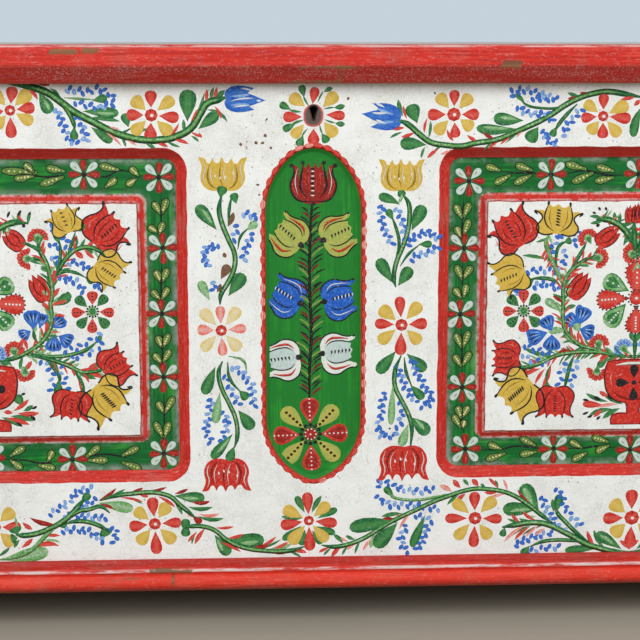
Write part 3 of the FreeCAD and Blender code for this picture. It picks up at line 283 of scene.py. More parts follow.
# Sizes that the paint shares with the solids, in millimetres.
FRONT_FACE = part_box("front_muntin")[0][1] / MM
END_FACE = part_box("end_right_panel")[1][0] / MM + 1
END_MIDDLE_Y = (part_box("end_right_panel")[0][1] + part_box("end_right_panel")[1][1]) / 2 / MM
FIELD_DEPTH = 1
OVAL_DEPTH = 4.5
CHANNEL_DEPTH = 7.75
OPENING_X = 325
OPENING_Z = 317.5
OPENING_HALF = (200, 167)
OPENING_ROUND = 22
BEVEL = 10
FIELD_Z = 314.5
FIELD_HALF = (151, 116)
FIELD_BEVEL = 8
OVAL_REACH = 60
KEYHOLE_Z = 516
KEYHOLE_HALF = (8.5, 10)
WALL_WOOD = 10  # how deep behind the face the bare wood starts
LID_TOP = 584.5
LID_EDGE_Z = 583.4  # the upper edge of the lid's mouldings, and of the base mouldings below
BASE_EDGE_Z = 60.5
# painted highlight: a lighter red where the base moulding's convex band faces the light
BEAD_HIGHLIGHT_RED = srgb(240, 72, 46)


def wood_colour(shader, grain_axis, light, dark):
    """Streaked softwood with its grain along an axis."""
    along = shader.stretched(**{grain_axis: 0.012})
    rings = shader.noise(0.11, along, detail=4, roughness=0.6)
    fibres = shader.noise(0.9, along, detail=3)
    grain = shader.step(rings * 0.7 + fibres * 0.3, 0.36, 0.62)
    colour = shader.over(dark, (light, grain), (shade(dark, 0.55), shader.patches(0.012, 0.5, 0.8) * 0.4))
    return colour, grain, fibres


def wood_material(name, grain_axis, light, dark):
    """Unpainted softwood."""
    shader = Shader(name)
    colour, grain, fibres = wood_colour(shader, grain_axis, light, dark)
    return shader.finished(colour, 0.62 + fibres * 0.2, grain * 0.5 + fibres * 0.5, 0.0004, 0.35)


def worn_ground(shader, streak_axis):
    """Old white paint: mottled, streaked by the brush, crazed and stained."""
    paint = colours()
    cloudy = shader.noise(0.03, detail=4, roughness=0.6)
    fine = shader.noise(0.55, detail=3, roughness=0.7)
    brushed = shader.noise(0.5, shader.stretched(**{streak_axis: 0.12}), detail=3)
    crazing = shader.cells(0.22, "DISTANCE_TO_EDGE", shader.stretched(z=0.55))
    cracks = shader.step(crazing, 0.05, 0.0) * shader.patches(0.05, 0.45, 0.65)
    specks = shader.step(shader.cells(0.16), 0.16, 0.10) * shader.patches(0.02, 0.5, 0.62, detail=1)
    dirt = shader.step(cloudy * 0.55 + fine * 0.45, 0.42, 0.66)
    pores = shader.patches(0.42, 0.6, 0.68, detail=4, roughness=0.75) * shader.step(cloudy, 0.36, 0.56)
    grime = shade(paint.ground_stain, 0.55)
    colour = shader.over(
        paint.ground, (shade(paint.ground, 0.88), brushed), (paint.ground_stain, dirt * 0.36),
        (grime, pores * 0.65), (grime, cracks * 0.35), (shade(paint.chip, 0.8), specks * 0.6))
    return colour, fine, cracks


def worn_red(shader, streak_axis, bright=1.0):
    """Old red paint: brush streaks, pink rubbed patches, dark grime and pale flecks."""
    paint = colours()
    streaks = shader.noise(0.55, shader.stretched(**{streak_axis: 0.04}), detail=5, roughness=0.7)
    cloudy = shader.noise(0.03, detail=4, roughness=0.6)
    flecks = shader.patches(0.5, 0.54, 0.68, shader.stretched(**{streak_axis: 0.4}), detail=5, roughness=0.8)
    colour = shader.over(
        shade(paint.red, 0.78 * bright), (shade(paint.red, 1.12 * bright), shader.step(streaks, 0.34, 0.62)),
        (paint.dark_red, shader.step(cloudy, 0.5, 0.7) * 0.5),
        (paint.pink, shader.step(streaks * 0.5 + cloudy * 0.5, 0.48, 0.62) * 0.36),
        (shade(paint.ground, 0.78), flecks * 0.22))
    return colour, streaks


def green_ground(shader, streak_axis):
    """Streaky green of the channels and the oval."""
    paint = colours()
    streaks = shader.noise(0.35, shader.stretched(**{streak_axis: 0.04}), detail=3)
    light = shader.step(streaks * 0.5 + shader.noise(0.04) * 0.5, 0.5, 0.68)
    return shader.over(
        shade(paint.channel, 0.72), (paint.channel, shader.step(streaks, 0.3, 0.6)),
        (paint.channel_light, light * 0.8))


def painted_wall(name, is_end, is_panel, streak_axis):
    """White ground with red bevels and green channels, and bare wood behind; painted shade darkens the red of
    each opening's top bevel and the lower part of the oval's wall.
    """
    paint = colours()
    shader = Shader(name)
    white, fine, cracks = worn_ground(shader, streak_axis)
    red, streaks = worn_red(shader, streak_axis)
    green = green_ground(shader, streak_axis)
    wobble = (shader.noise(0.06) - 0.5) * 2.4
    if is_end:
        across = shader.y - END_MIDDLE_Y
        depth = END_FACE - abs(shader.x)
    else:
        across = abs(shader.x) - OPENING_X
        depth = shader.y - FRONT_FACE
    up = shader.z - OPENING_Z
    top = OPENING_HALF[1]
    opening = shader.box_distance(across, up, *OPENING_HALF, OPENING_ROUND)
    # Painted shade: the red of each opening's top bevel, which faces down, is darkened.
    top_bevel_shade = shader.band(up, top - 13, top - 8, top + 2, top + 4)
    red = shader.mix(red, shade(paint.dark_red, 0.85), top_bevel_shade * 0.6)
    colour = shader.mix(white, red, shader.step(opening + wobble, 0.9, 0.3))
    if is_panel:
        field = shader.box_distance(across, shader.z - FIELD_Z, *FIELD_HALF)
        level = green_ground(shader, "y" if is_end else "x")
        is_level = shader.step(
            abs(shader.z - FIELD_Z), FIELD_HALF[1] + FIELD_BEVEL, FIELD_HALF[1] + FIELD_BEVEL + 2)
        haze = shader.patches(0.05, 0.36, 0.7, detail=5, roughness=0.7)
        green = shader.over(
            green, (level, is_level),
            (shade(paint.ground, 0.62), haze * shader.step(opening, -BEVEL - 9, -BEVEL) * 0.55),
            (paint.ground_stain, haze * shader.step(field, 17, 9) * 0.3))
        chalk = shader.patches(0.11, 0.4, 0.58, detail=5, roughness=0.75)
        edges = shader.step(abs(field - 8.2), 2.2, 0.6) + shader.step(abs(field - 1.4), 2.2, 0.6)
        foot = shader.step(abs(field + wobble - 0.9), 0.9, 0.3)
        colour = shader.over(
            colour, (green, shader.step(opening + wobble, -BEVEL + 0.3, -BEVEL - 0.4)),
            (red, shader.step(field + wobble, 9.0, 8.3)), (shade(paint.ground, 0.86), edges * chalk * 0.42),
            (shade(paint.dark_red, 0.6), foot * 0.6), (white, shader.step(field + wobble, 0.6, -0.2)))
    elif not is_end:
        in_oval = shader.step(abs(shader.x), OVAL_REACH + 2, OVAL_REACH)
        sunk = shader.mix(green, paint.channel_light, 0.4)
        keyhole = shader.box_distance(shader.x, shader.z - KEYHOLE_Z, *KEYHOLE_HALF, KEYHOLE_HALF[0]) + wobble
        rim = shader.mix(red, shade(paint.dark_red, 0.5), shader.step(keyhole, 0.4, -1.2))
        rubbed = shader.patches(0.22, 0.34, 0.5, detail=4, roughness=0.7)
        colour = shader.over(
            colour, (red, in_oval * shader.step(depth, 0.02, 0.06)),
            # Painted shade: a darker red on the lower part of the oval recess's wall, next to the green.
            (shade(paint.dark_red, 0.8), in_oval * shader.step(depth + wobble * 0.2, 1.2, 1.6) * 0.6),
            (sunk, in_oval * shader.step(depth + wobble * 0.1, 1.7, 2.0)),
            (rim, shader.step(keyhole, 1.8, 0.8) * 0.9),
            (shade(paint.ground_stain, 0.16), shader.step(keyhole, -0.6, -2.4) * rubbed * 0.8))
    wood = wood_colour(shader, streak_axis, paint.pine, paint.pine_dark)[0]
    inner = shader.step(depth, WALL_WOOD - 0.5, WALL_WOOD)
    if not is_end:
        inner = inner * shader.step(abs(shader.x), END_FACE - 0.5, END_FACE - 1)
    return shader.finished(
        shader.mix(colour, wood, inner), 0.5 + fine * 0.25, fine * 0.35 + streaks * 0.3 - cracks * 0.5,
        0.0003, 0.35)


BARE_SPOTS = (
    # where the front's mouldings are rubbed to the wood: middle x and z, half width, half height
    (-239, 578, 13, 2), (-214, 579, 8, 2), (190, 566, 10, 3.6), (16, 563, 30, 0.8), (25, 554, 1, 5),
    (2, 549.5, 24, 0.6), (-145, 60, 22, 2), (-143, 52, 1, 6))


def moulding_material(name, streak_axis):
    """Red mouldings and feet, rubbed through to the wood in places and darker low down, with painted shade
    and painted highlight on their profiles.
    """
    paint = colours()
    shader = Shader(name)
    red, streaks = worn_red(shader, streak_axis, 1.05)
    wood = wood_colour(shader, streak_axis, shade(paint.pine, 0.62), shade(paint.chip, 0.8))[0]
    along = shader.stretched(**{streak_axis: 0.14})
    cloudy = shader.noise(0.06, along, detail=5, roughness=0.7)
    bare = shader.step(cloudy, 0.64, 0.69)
    ragged = shader.noise(0.22, shader.stretched(**{streak_axis: 0.35}), detail=5, roughness=0.8)
    ragged = (ragged - 0.5) * 11
    if streak_axis == "x":
        for x, z, half_x, half_z in BARE_SPOTS:
            spot = shader.box_distance(shader.x - x, shader.z - z, half_x, half_z, min(half_x, half_z))
            bare = shader.sum("MAXIMUM", bare, shader.step(spot + ragged, 1.0, -0.6))
    # Painted shade: the lid moulding's lower bevel, which faces down, is darker red; the pale speckles on it
    # are crazed paint.
    shaded_lid_bevel = shader.band(shader.z, 500, 540, 564, 567)
    speckled = shader.patches(0.55, 0.52, 0.64, detail=3, roughness=0.8) * shader.step(shader.z, 568, 563)
    # Whitish lines along the lid's top edge and the base moulding's bead: painted highlight on these rounded
    # crests, with paint rubbed thin there.
    edges = shader.step(abs(shader.z - LID_EDGE_Z), 1.5, 0.5) * 0.7
    edges = edges + shader.step(abs(shader.z - BASE_EDGE_Z), 2.2, 0.6)
    rubbed = edges * shader.patches(0.2, 0.38, 0.58, along, detail=5, roughness=0.75)
    # darker towards the lower edge of the lid's moulding, the foot of the base moulding and the feet
    grime = shader.band(shader.z, 500, 540, 547, 551) + shader.step(shader.z, 47, 41)
    colour = shader.over(
        red, (shade(paint.dark_red, 0.9), shaded_lid_bevel * 0.5),
        (shade(paint.ground, 0.62), speckled * shaded_lid_bevel * shader.step(cloudy, 0.36, 0.56) * 0.36),
        # painted highlight on the base moulding's convex band
        (BEAD_HIGHLIGHT_RED, shader.band(shader.z, 44, 49, 57, 61) * 0.4),
        # painted shade in the cove along the top of the base moulding
        (shade(paint.dark_red, 0.8), shader.band(shader.z, 62.5, 64, 80, 90) * 0.4),
        (shade(paint.ground, 0.85), rubbed * 0.7), (wood, bare * 0.9), (shade(paint.chip, 0.6), grime * 0.5))
    return shader.finished(colour, 0.42 + streaks * 0.25, streaks * 0.5 - bare * 0.8, 0.0004, 0.4)


def iron_material(name):
    """Dark forged iron with brown rust."""
    paint = colours()
    shader = Shader(name)
    cloudy = shader.noise(0.12, detail=4, roughness=0.65)
    fine = shader.noise(0.9, detail=3)
    rust = shader.step(cloudy, 0.48, 0.68)
    shader.feed("Metallic", 0.85 - rust * 0.7)
    return shader.finished(
        shader.mix(paint.iron, paint.rust, rust), 0.45 + rust * 0.35, cloudy * 0.6 + fine * 0.4, 0.0005, 0.5)


def lid_material(name):
    """Worn grey white paint above, bare wood below."""
    paint = colours()
    shader = Shader(name)
    white, fine = worn_ground(shader, "x")[:2]
    wood, grain = wood_colour(shader, "x", paint.pine, paint.pine_dark)[:2]
    rubbed = shader.patches(0.02, 0.5, 0.64, shader.stretched(x=0.3), detail=5, roughness=0.7)
    painted = shader.over(white, (paint.lid_paint, 0.7), (wood, rubbed * 0.7))
    colour = shader.mix(wood, painted, shader.step(shader.z, LID_TOP - 1, LID_TOP))
    return shader.finished(colour, 0.55 + fine * 0.2, fine * 0.5 + grain * 0.4, 0.0004, 0.4)


def stroke_material(name, base, light, dark, core_share):
    """Thin oil paint of one stroke: darker at its rim, lighter in its core, with brush lines."""
    shader = Shader(name)
    stroke = shader.node("ShaderNodeUVMap", {"uv_map": STROKE_MAP})
    along, across = (shader.node("ShaderNodeSeparateXYZ", {}, stroke, out=axis) for axis in "XY")
    cloudy = shader.noise(0.12, detail=3, roughness=0.6)
    fine = shader.noise(0.42, detail=4, roughness=0.7)
    pressed = shader.step(along, 0.02, 0.3)
    rim = abs(across - 0.5) + (fine - 0.5) * 0.35
    core = shader.step(rim, 0.26, 0.1) * pressed
    edge = shader.step(rim, 0.3, 0.42) * pressed
    worn = shader.patches(0.5, 0.58, 0.68, detail=5, roughness=0.85)
    colour = shader.over(
        dark, (base, shader.step(cloudy * 0.4 + fine * 0.6, 0.36, 0.52)), (light, core * core_share),
        (dark, edge * 0.55), (light, shader.step(fine, 0.52, 0.64) * 0.5), (colours().ground, worn * 0.42))
    return shader.finished(colour, 0.42 + fine * 0.2, fine, 0.00015, 0.3)


STROKE_MAP = "stroke"
PAINTS = {
    # colour: (core colour, share of the core, darkness of the thin places)
    "red": ("pink", 0.35, 0.8),
    "dark_red": ("red", 0.35, 0.72),
    "russet": ("dark_red", 0.4, 0.7),
    "pink": ("white", 0.3, 0.85),
    "green": ("leaf", 0.3, 0.62),
    "leaf": ("white", 0.2, 0.6),
    "yellow": ("sand", 0.3, 0.85),
    "sand": ("white", 0.3, 0.88),
    "ochre": ("yellow", 0.3, 0.8),
    "olive": ("yellow", 0.35, 0.8),
    "moss": ("olive", 0.6, 0.75),
    "blue": ("sky", 0.25, 0.75),
    "sky": ("white", 0.2, 0.8),
    "black": ("black", 0.0, 0.6),
    "white": ("white", 0.0, 0.86),
    "frost": ("white", 0.4, 0.86),
    "chip": ("chip", 0.0, 0.7),
}
made_paints = {}


def paint_of(colour):
    """The material of one paint, made when it is first used."""
    if colour not in made_paints:
        core, share, darkness = PAINTS[colour]
        base, light = (getattr(colours(), name) for name in (colour, core))
        made_paints[colour] = stroke_material(f"{colour}_paint", base, light, shade(base, darkness), share)
    return made_paints[colour]


def only(*items):
    """Select these objects alone, the first of them active."""
    bpy.ops.object.select_all(action="DESELECT")
    for item in items:
        item.select_set(True)
    bpy.context.view_layer.objects.active = items[0]


def laid_out(items):
    """Put new objects into the scene, all at once, and select them."""
    pile = bpy.data.collections.new("strokes")
    for item in items:
        pile.objects.link(item)
    bpy.context.scene.collection.children.link(pile)
    only(*items)


def put_away(item):
    """Take an object out of the scene and keep it."""
    for collection in item.users_collection:
        collection.objects.unlink(item)
    return item


def make_stencil(name, corners, taper, tip=0.0):
    """One stroke of the brush, a unit long and wide and high, with its tail at the origin."""
    bpy.ops.object.select_all(action="DESELECT")
    bpy.ops.mesh.primitive_circle_add(vertices=corners, radius=0.5, fill_type="NGON", location=(0.5, 0, 0))
    stencil = bpy.context.object
    stencil.name = name
    bpy.ops.object.transform_apply()
    levels = sorted({round(vertex.co.x, 4) for vertex in stencil.data.vertices})
    for level in levels[1:-1]:
        bpy.ops.object.mode_set(mode="EDIT")
        bpy.ops.mesh.select_all(action="DESELECT")
        bpy.ops.object.mode_set(mode="OBJECT")
        for vertex in stencil.data.vertices:
            vertex.select = abs(vertex.co.x - level) < 0.001
        bpy.ops.object.mode_set(mode="EDIT")
        narrowing = level ** taper * (1 - level) ** tip
        bpy.ops.transform.resize(value=(1, narrowing, 1), center_override=(level, 0, 0))
        bpy.ops.object.mode_set(mode="OBJECT")
    widest = max(abs(vertex.co.y) for vertex in stencil.data.vertices)
    bpy.ops.object.mode_set(mode="EDIT")
    bpy.ops.mesh.select_all(action="SELECT")
    bpy.ops.transform.resize(value=(1, 0.5 / widest, 1), center_override=(0, 0, 0))
    bpy.ops.mesh.extrude_region_move(TRANSFORM_OT_translate={"value": (0, 0, 1)})
    bpy.ops.transform.resize(value=STENCIL_TOP, center_override=(0.6, 0, 1))
    bpy.ops.mesh.select_all(action="SELECT")
    bpy.ops.mesh.normals_make_consistent(inside=False)
    bpy.ops.object.mode_set(mode="OBJECT")
    mesh = stencil.data
    chart = mesh.uv_layers.new(name=STROKE_MAP)
    for loop in mesh.loops:
        corner = mesh.vertices[loop.vertex_index].co
        chart.data[loop.index].uv = (corner.x, corner.y + 0.5)
    return put_away(stencil)


class Sheet:
    """A pattern painted flat, in millimetres across, up and out of the ground, kept by colour."""

    def __init__(self):
        self.dabs = {}
        self.lines = {}
        self.patches = {}
        self.count = 0

    def lift(self, layer):
        """Height of the next stroke's top, in millimetres, a hair above the stroke before."""
        sizes = bpy.context.scene.chest_strokes
        self.count += 1
        return (sizes.height + layer * sizes.layer) / MM + HAIR * (self.count % HAIRS)

    @staticmethod
    def spline(curve, points, closed, place, height):
        """A smooth line through points; one with a third number is a sharp corner."""
        spline = curve.splines.new("BEZIER")
        spline.bezier_points.add(len(points) - 1)
        spline.use_cyclic_u = closed
        for point, (x, z, *sharp) in zip(spline.bezier_points, points):
            spot = place @ Vector((x, z, 0))
            point.co = (spot.x, spot.y, height)
            point.handle_left_type = point.handle_right_type = "VECTOR" if sharp else "AUTO"
        return spline

    def holds(self, colour):
        """Whether anything here is painted in a colour."""
        return any(colour in kept for kept in (self.dabs, self.lines, self.patches))

    def line_curve(self, colour):
        """All thin lines of one colour as one tube."""
        curve = bpy.data.curves.new(f"{colour}_lines", "CURVE")
        curve.dimensions = "3D"
        curve.twist_mode = "Z_UP"
        curve.bevel_depth = 1
        curve.bevel_resolution = 0
        curve.resolution_u = CURVE_STEPS
        curve.use_fill_caps = True
        for points, place, height, widths, closed in self.lines[colour]:
            spline = self.spline(curve, points, closed, place, height / LINE_FLATNESS)
            for point, width in zip(spline.bezier_points, widths):
                point.radius = width / 2
        item = bpy.data.objects.new(curve.name, curve)
        return [(item, Matrix.Diagonal((1, 1, LINE_FLATNESS, 1)))]

    def patch_curves(self, colour):
        """All filled outlines of one colour as thin plates."""
        made = []
        for points, place, thickness in self.patches[colour]:
            curve = bpy.data.curves.new(f"{colour}_patch", "CURVE")
            curve.dimensions = "2D"
            curve.fill_mode = "BOTH"
            curve.extrude = thickness / 2
            curve.resolution_u = CURVE_STEPS
            self.spline(curve, points, True, Matrix.Identity(4), 0)
            made.append((bpy.data.objects.new(curve.name, curve), place))
        return made

    def colour_mesh(self, colour):
        """Everything painted here in one colour as one mesh."""
        curves = self.line_curve(colour) if colour in self.lines else []
        curves += self.patch_curves(colour) if colour in self.patches else []
        dabs = self.dabs.get(colour, [])
        items = [item for item, place in curves] + dabs
        laid_out(items)
        for dab in dabs:
            dab.select_set(False)
        if curves:
            bpy.ops.object.convert(target="MESH")
            for item, place in curves:
                item.data.transform(place)
        only(*items)
        if len(items) > 1:
            bpy.ops.object.join()
        bpy.ops.object.mode_set(mode="EDIT")
        bpy.ops.mesh.select_all(action="SELECT")
        bpy.ops.mesh.remove_doubles(threshold=0.0005)
        bpy.ops.mesh.normals_make_consistent(inside=False)
        bpy.ops.object.mode_set(mode="OBJECT")
        return put_away(bpy.context.object).data


CURVE_STEPS = 4
LINE_FLATNESS = 0.16
LINE_DROP = 0.08  # how far the middle of a line lies below a dab's top, in millimetres
HAIR = 0.0006  # how much higher each stroke lies than the one before, so that crossing strokes differ
HAIRS = 149  # after so many strokes the heights start again
STENCIL_TOP = (0.95, 0.88, 1)  # a stroke's top face as a share of its foot
DROP_TAPER = 0.75
DROP_WIDEST = 0.71
POD_HALF = 3.8
OVAL_HALF = 50
OVAL_CAPS = {1: (421, 30, 36), -1: (213, 48, 18)}  # up or down: (spring, rise and radius of the tip)
SCALLOP_PITCH = 8.6
MIRROR_LIFT = 0.03
stencils = {}


def heading(x, z):
    """The angle of a direction, in degrees."""
    return math.degrees(math.atan2(z, x))


class Brush:
    """Lays strokes on a sheet, in millimetres, in a frame that can be moved, turned and resized."""

    def __init__(self, sheet, place=None, size=1.0):
        self.sheet = sheet
        self.place = place or Matrix.Identity(4)
        self.size = size

    def at(self, x, z, angle=0.0, size=1.0, flip=1):
        """The same brush at another spot."""
        shape = Matrix.Rotation(math.radians(angle), 4, "Z") @ Matrix.Diagonal((size, size * flip, 1, 1))
        return Brush(self.sheet, self.place @ Matrix.Translation((x, z, 0)) @ shape, self.size * size)

    def dab(self, colour, x, z, angle, length, width, bend=0.0, layer=0, kind="drop"):
        """One press of the brush, from its thin tail to its round end; a bend turns it sideways."""
        sink = bpy.context.scene.chest_strokes.sink / MM
        top = self.sheet.lift(layer) + sink
        stencil = stencils[kind]
        copy = bpy.data.objects.new(stencil.name, stencil.data.copy())
        radians = math.radians(bend)
        if radians:
            radius = length / radians
            for vertex in copy.data.vertices:
                swing, reach = vertex.co.x * radians, radius - vertex.co.y * width
                vertex.co = (math.sin(swing) * reach, radius - math.cos(swing) * reach, vertex.co.z * top)
            shape = Matrix.Identity(4)
        else:
            shape = Matrix.Diagonal((length, width, top, 1))
        turned = Matrix.Translation((x, z, -sink)) @ Matrix.Rotation(math.radians(angle), 4, "Z")
        copy.data.transform(self.place @ turned @ shape)
        self.sheet.dabs.setdefault(colour, []).append(copy)

    def press(self, colour, x, z, end_x, end_z, width, bend=0.0, layer=0, kind="drop"):
        """A press of the brush from a thin tail at one point to a round end at another."""
        chord = Vector((end_x - x, end_z - z))
        half = math.radians(bend) / 2
        length = chord.length * (half / math.sin(half) if half else 1)
        self.dab(colour, x, z, heading(*chord) - bend / 2, length, width, bend, layer, kind)

    def dot(self, colour, x, z, width, layer=1):
        """A round dot."""
        self.dab(colour, x - width / 2, z, 0, width, width, 0, layer, "dot")

    def line(self, colour, points, width, layer=0, closed=False, tail=0.25):
        """A line through points, as wide as the brush and thinner at both ends."""
        last = len(points) - 1
        widths = [
            width * self.size * (1 if closed or 0 < index < last else tail) for index in range(len(points))]
        self.sheet.lines.setdefault(colour, []).append(
            (points, self.place, self.sheet.lift(layer) - LINE_DROP, widths, closed))

    def patch(self, colour, points, layer=0):
        """A filled outline through points."""
        sink = bpy.context.scene.chest_strokes.sink / MM
        thickness = self.sheet.lift(layer) + sink
        middle = Matrix.Translation((0, 0, thickness / 2 - sink))
        self.sheet.patches.setdefault(colour, []).append((points, middle @ self.place, thickness))


PLANES = {"frame": 0, "field": FIELD_DEPTH, "oval": OVAL_DEPTH, "channel": CHANNEL_DEPTH}
END_SHIFT = END_MIDDLE_Y - OPENING_X
SIDES = {
    # side: (where the pattern's origin lies, which way is across, which way is outwards)
    "front": ((0, FRONT_FACE, 0), (1, 0, 0), (0, -1, 0)),
    "end_right": ((END_FACE, END_SHIFT, 0), (0, 1, 0), (1, 0, 0)),
    "end_left": ((-END_FACE, END_SHIFT, 0), (0, -1, 0), (-1, 0, 0)),
}
CORNERS = (
    # where the paint of the ends and of the front stops: points on the cuts, and which way is off
    (((0, (FRONT_FACE + 1) * MM, 0), (0, (2 * END_MIDDLE_Y - FRONT_FACE - 1) * MM, 0)),
     ((0, -1, 0), (0, 1, 0))),
    ((((1 - END_FACE) * MM, 0, 0), ((END_FACE - 1) * MM, 0, 0)), ((-1, 0, 0), (1, 0, 0))),
)
sheets = {}


def brush_for(design, plane):
    """A brush for a pattern of the right or left half bay, a bay's middle or the chest's middle."""
    return Brush(sheets.setdefault((design, plane), Sheet()))


def plane_matrix(side, plane):
    """Takes a sheet onto one plane of one side of the chest."""
    origin, across, outwards = SIDES[side]
    axes = Matrix((across, (0, 0, 1), outwards)).transposed() * MM
    sunk = Vector(origin) - Vector(outwards) * PLANES[plane]
    return Matrix.Translation(sunk * MM) @ axes.to_4x4()


def places(design):
    """Where a pattern is repeated: on which sides, and moved how across each."""
    if design == "chest":
        return [("front", Matrix.Identity(4))]
    if design == "bay":
        bays = (("front", 1), ("front", -1), ("end_right", 1), ("end_left", -1))
        return [(side, Matrix.Translation((shift * OPENING_X, 0, 0))) for side, shift in bays]
    shift = 2 * OPENING_X * (1 if design == "right" else -1)
    mirrored = Matrix.Translation((shift, 0, MIRROR_LIFT)) @ Matrix.Diagonal((-1, 1, 1, 1))
    return [(side, place) for side in ("front", f"end_{design}") for place in (Matrix.Identity(4), mirrored)]


hand = random.Random(11)


def about(number, share=0.08):
    """A number as a hand would repeat it."""
    return number * hand.uniform(1 - share, 1 + share)


def ring(x, z, reach, angle):
    """A spot at some distance and angle from another."""
    return x + reach * math.cos(math.radians(angle)), z + reach * math.sin(math.radians(angle))


def rosette(brush, x, z, tips, eye=6, width=10.5, pair=("red", "yellow")):
    """A flower with petals of two colours by turns, given by their tips clockwise, and a red eye."""
    for index, (tip_x, tip_z) in enumerate(tips):
        reach = math.hypot(tip_x - x, tip_z - z)
        start = (eye + 0.5) / reach
        colour = pair[index % 2]
        brush.press(
            colour, x + (tip_x - x) * start, z + (tip_z - z) * start, tip_x, tip_z,
            about(width * (1.25 if index % 2 else 1.1)), hand.uniform(-8, 8))
    brush.dot("red", x, z, eye * 2)
    for index in range(5):
        turn = index * 72 + hand.uniform(0, 30)
        brush.dab("dark_red", *ring(x, z, eye * 0.4, turn), turn, eye * 0.5, 1.6, 0, 2, "comma")
    brush.dot("white", x + 0.6, z - 0.3, 3.6, 3)


def spray(brush, count, points):
    """Small blue dabs on both sides of a line, like the grains of an ear."""
    spots = [Vector(point) for point in points]
    whole = sum((second - first).length for first, second in zip(spots, spots[1:]))
    for index in range(count):
        left = (index + hand.uniform(0.3, 0.7)) / count * whole
        for first, second in zip(spots, spots[1:]):
            reach = (second - first).length
            if left <= reach:
                break
            left -= reach
        side = 1 if index % 2 else -1
        turn = math.degrees((second - first).angle_signed(Vector((1, 0)))) if reach else 0
        angle = turn + side * hand.uniform(45, 75)
        spot = ring(*first.lerp(second, left / reach), -1.4, angle)
        colour = hand.choice(("blue", "blue", "blue", "sky"))
        brush.dab(colour, *spot, angle, about(6.8, 0.12), about(4.2, 0.12), 0, 0, "dot")


def pod(brush, x, z, tip_x, tip_z):
    """A pod of the channels: its round end, its tip, a black rim and a row of pale seeds."""
    start, end = Vector((x, z)), Vector((tip_x, tip_z))
    along = end - start
    across = Vector((-along.y, along.x)).normalized() * POD_HALF
    outline = [
        tuple(start + along * share + across * reach) for share, reach in (
            (0, 0), (0.12, 0.8), (0.4, 1), (0.7, 0.6), (1, 0), (0.7, -0.6), (0.4, -1), (0.12, -0.8))]
    brush.patch("moss", outline)
    brush.line("black", outline, 0.9, 1, closed=True)
    for share in (0.2, 0.36, 0.52, 0.68):
        spot = start.lerp(end, share)
        brush.dot("sand", spot.x, spot.y, about(2.1, 0.2), 2)


def band_flower(brush, x, z):
    """A flower of the channels: white and red petals by turns round a black eye."""
    for index in range(8):
        angle = index * 45 + hand.uniform(-4, 4)
        odd = index % 2
        length = about(15 if odd else 13.5, 0.06)
        brush.dab("frost" if odd else "dark_red", *ring(x, z, 2, angle), angle, length, about(7.6, 0.06))
        spot = ring(x, z, length * 0.5, angle + 3)
        brush.dab("moss" if odd else "red", *spot, angle, length * 0.4, 1.1, 0, 1, "comma")
    brush.dot("black", x, z, 5.4, 2)


def carnation(brush, x, z, angle, colour="red", deep="dark_red"):
    """A pink seen from the side: a crescent of nine short petals round a green cup."""
    radius = 10.5
    for index in range(9):
        turn = angle + (index / 8 - 0.5) * 185 + hand.uniform(-3, 3)
        start = ring(x, z, radius * 0.3, turn)
        brush.dab(colour, *start, turn, about(radius * 0.72), radius * 0.42)
        brush.dab(deep, *ring(x, z, radius * 0.4, turn + 9), turn + 9, radius * 0.42, 1.7, 0, 1, "comma")
    brush.dab("leaf", *ring(x, z, -radius * 0.6, angle), angle, radius * 1.1, radius * 0.75, 0, 1)
    brush.dab("green", *ring(x, z, -radius * 0.5, angle), angle, radius * 0.75, radius * 0.4, 0, 2)


def lobe(brush, x, z, end_x, end_z, width):
    """A cornflower's petal: a fan of blue strokes with pale lines and dark ends."""
    middle = heading(end_x - x, end_z - z)
    length = math.hypot(end_x - x, end_z - z)
    half = heading(length, width / 2 - 2.6)
    for index in range(5):
        turn = middle + (index / 2 - 1) * half
        brush.dab("blue", x, z, turn, about(length, 0.04), width * 0.42)
    for index in range(3):
        turn = middle + (index - 1) * half * 0.8
        brush.dab("sky", *ring(x, z, length * 0.3, turn - 5), turn - 5, length * 0.5, 1.5, 0, 1, "comma")
        brush.dab("black", *ring(x, z, length * 0.5, turn + 4), turn + 4, length * 0.42, 1.5, 0, 2, "comma")


def bud(brush, x, z, end_x, end_z, width):
    """A closed red tulip: three petals with thin dark edges."""
    spot = brush.at(x, z, heading(end_x - x, end_z - z), math.hypot(end_x - x, end_z - z) / 30)
    wide = width / spot.size / 2
    flank = [(1, wide * 0.75), (9, wide), (20, wide * 0.95), (29, wide * 0.55, 1), (25, wide * 0.3, 1)]
    outline = [(-1, 0), *flank, (32, 0, 1), *((x, -z, *sharp) for x, z, *sharp in reversed(flank))]
    spot.patch("red", outline)
    spot.line("black", outline[:5], 1.2, 2)
    spot.line("black", outline[8:], 1.2, 2)
    for side in (1, -1):
        spot.line("dark_red", [(3, side * 1), (12, side * wide * 0.5), (27, side * wide * 0.16)], 1.6, 1)
        spot.line("black", [(6, side * 2), (14, side * wide * 0.55), (30, side * wide * 0.05)], 0.9, 2)


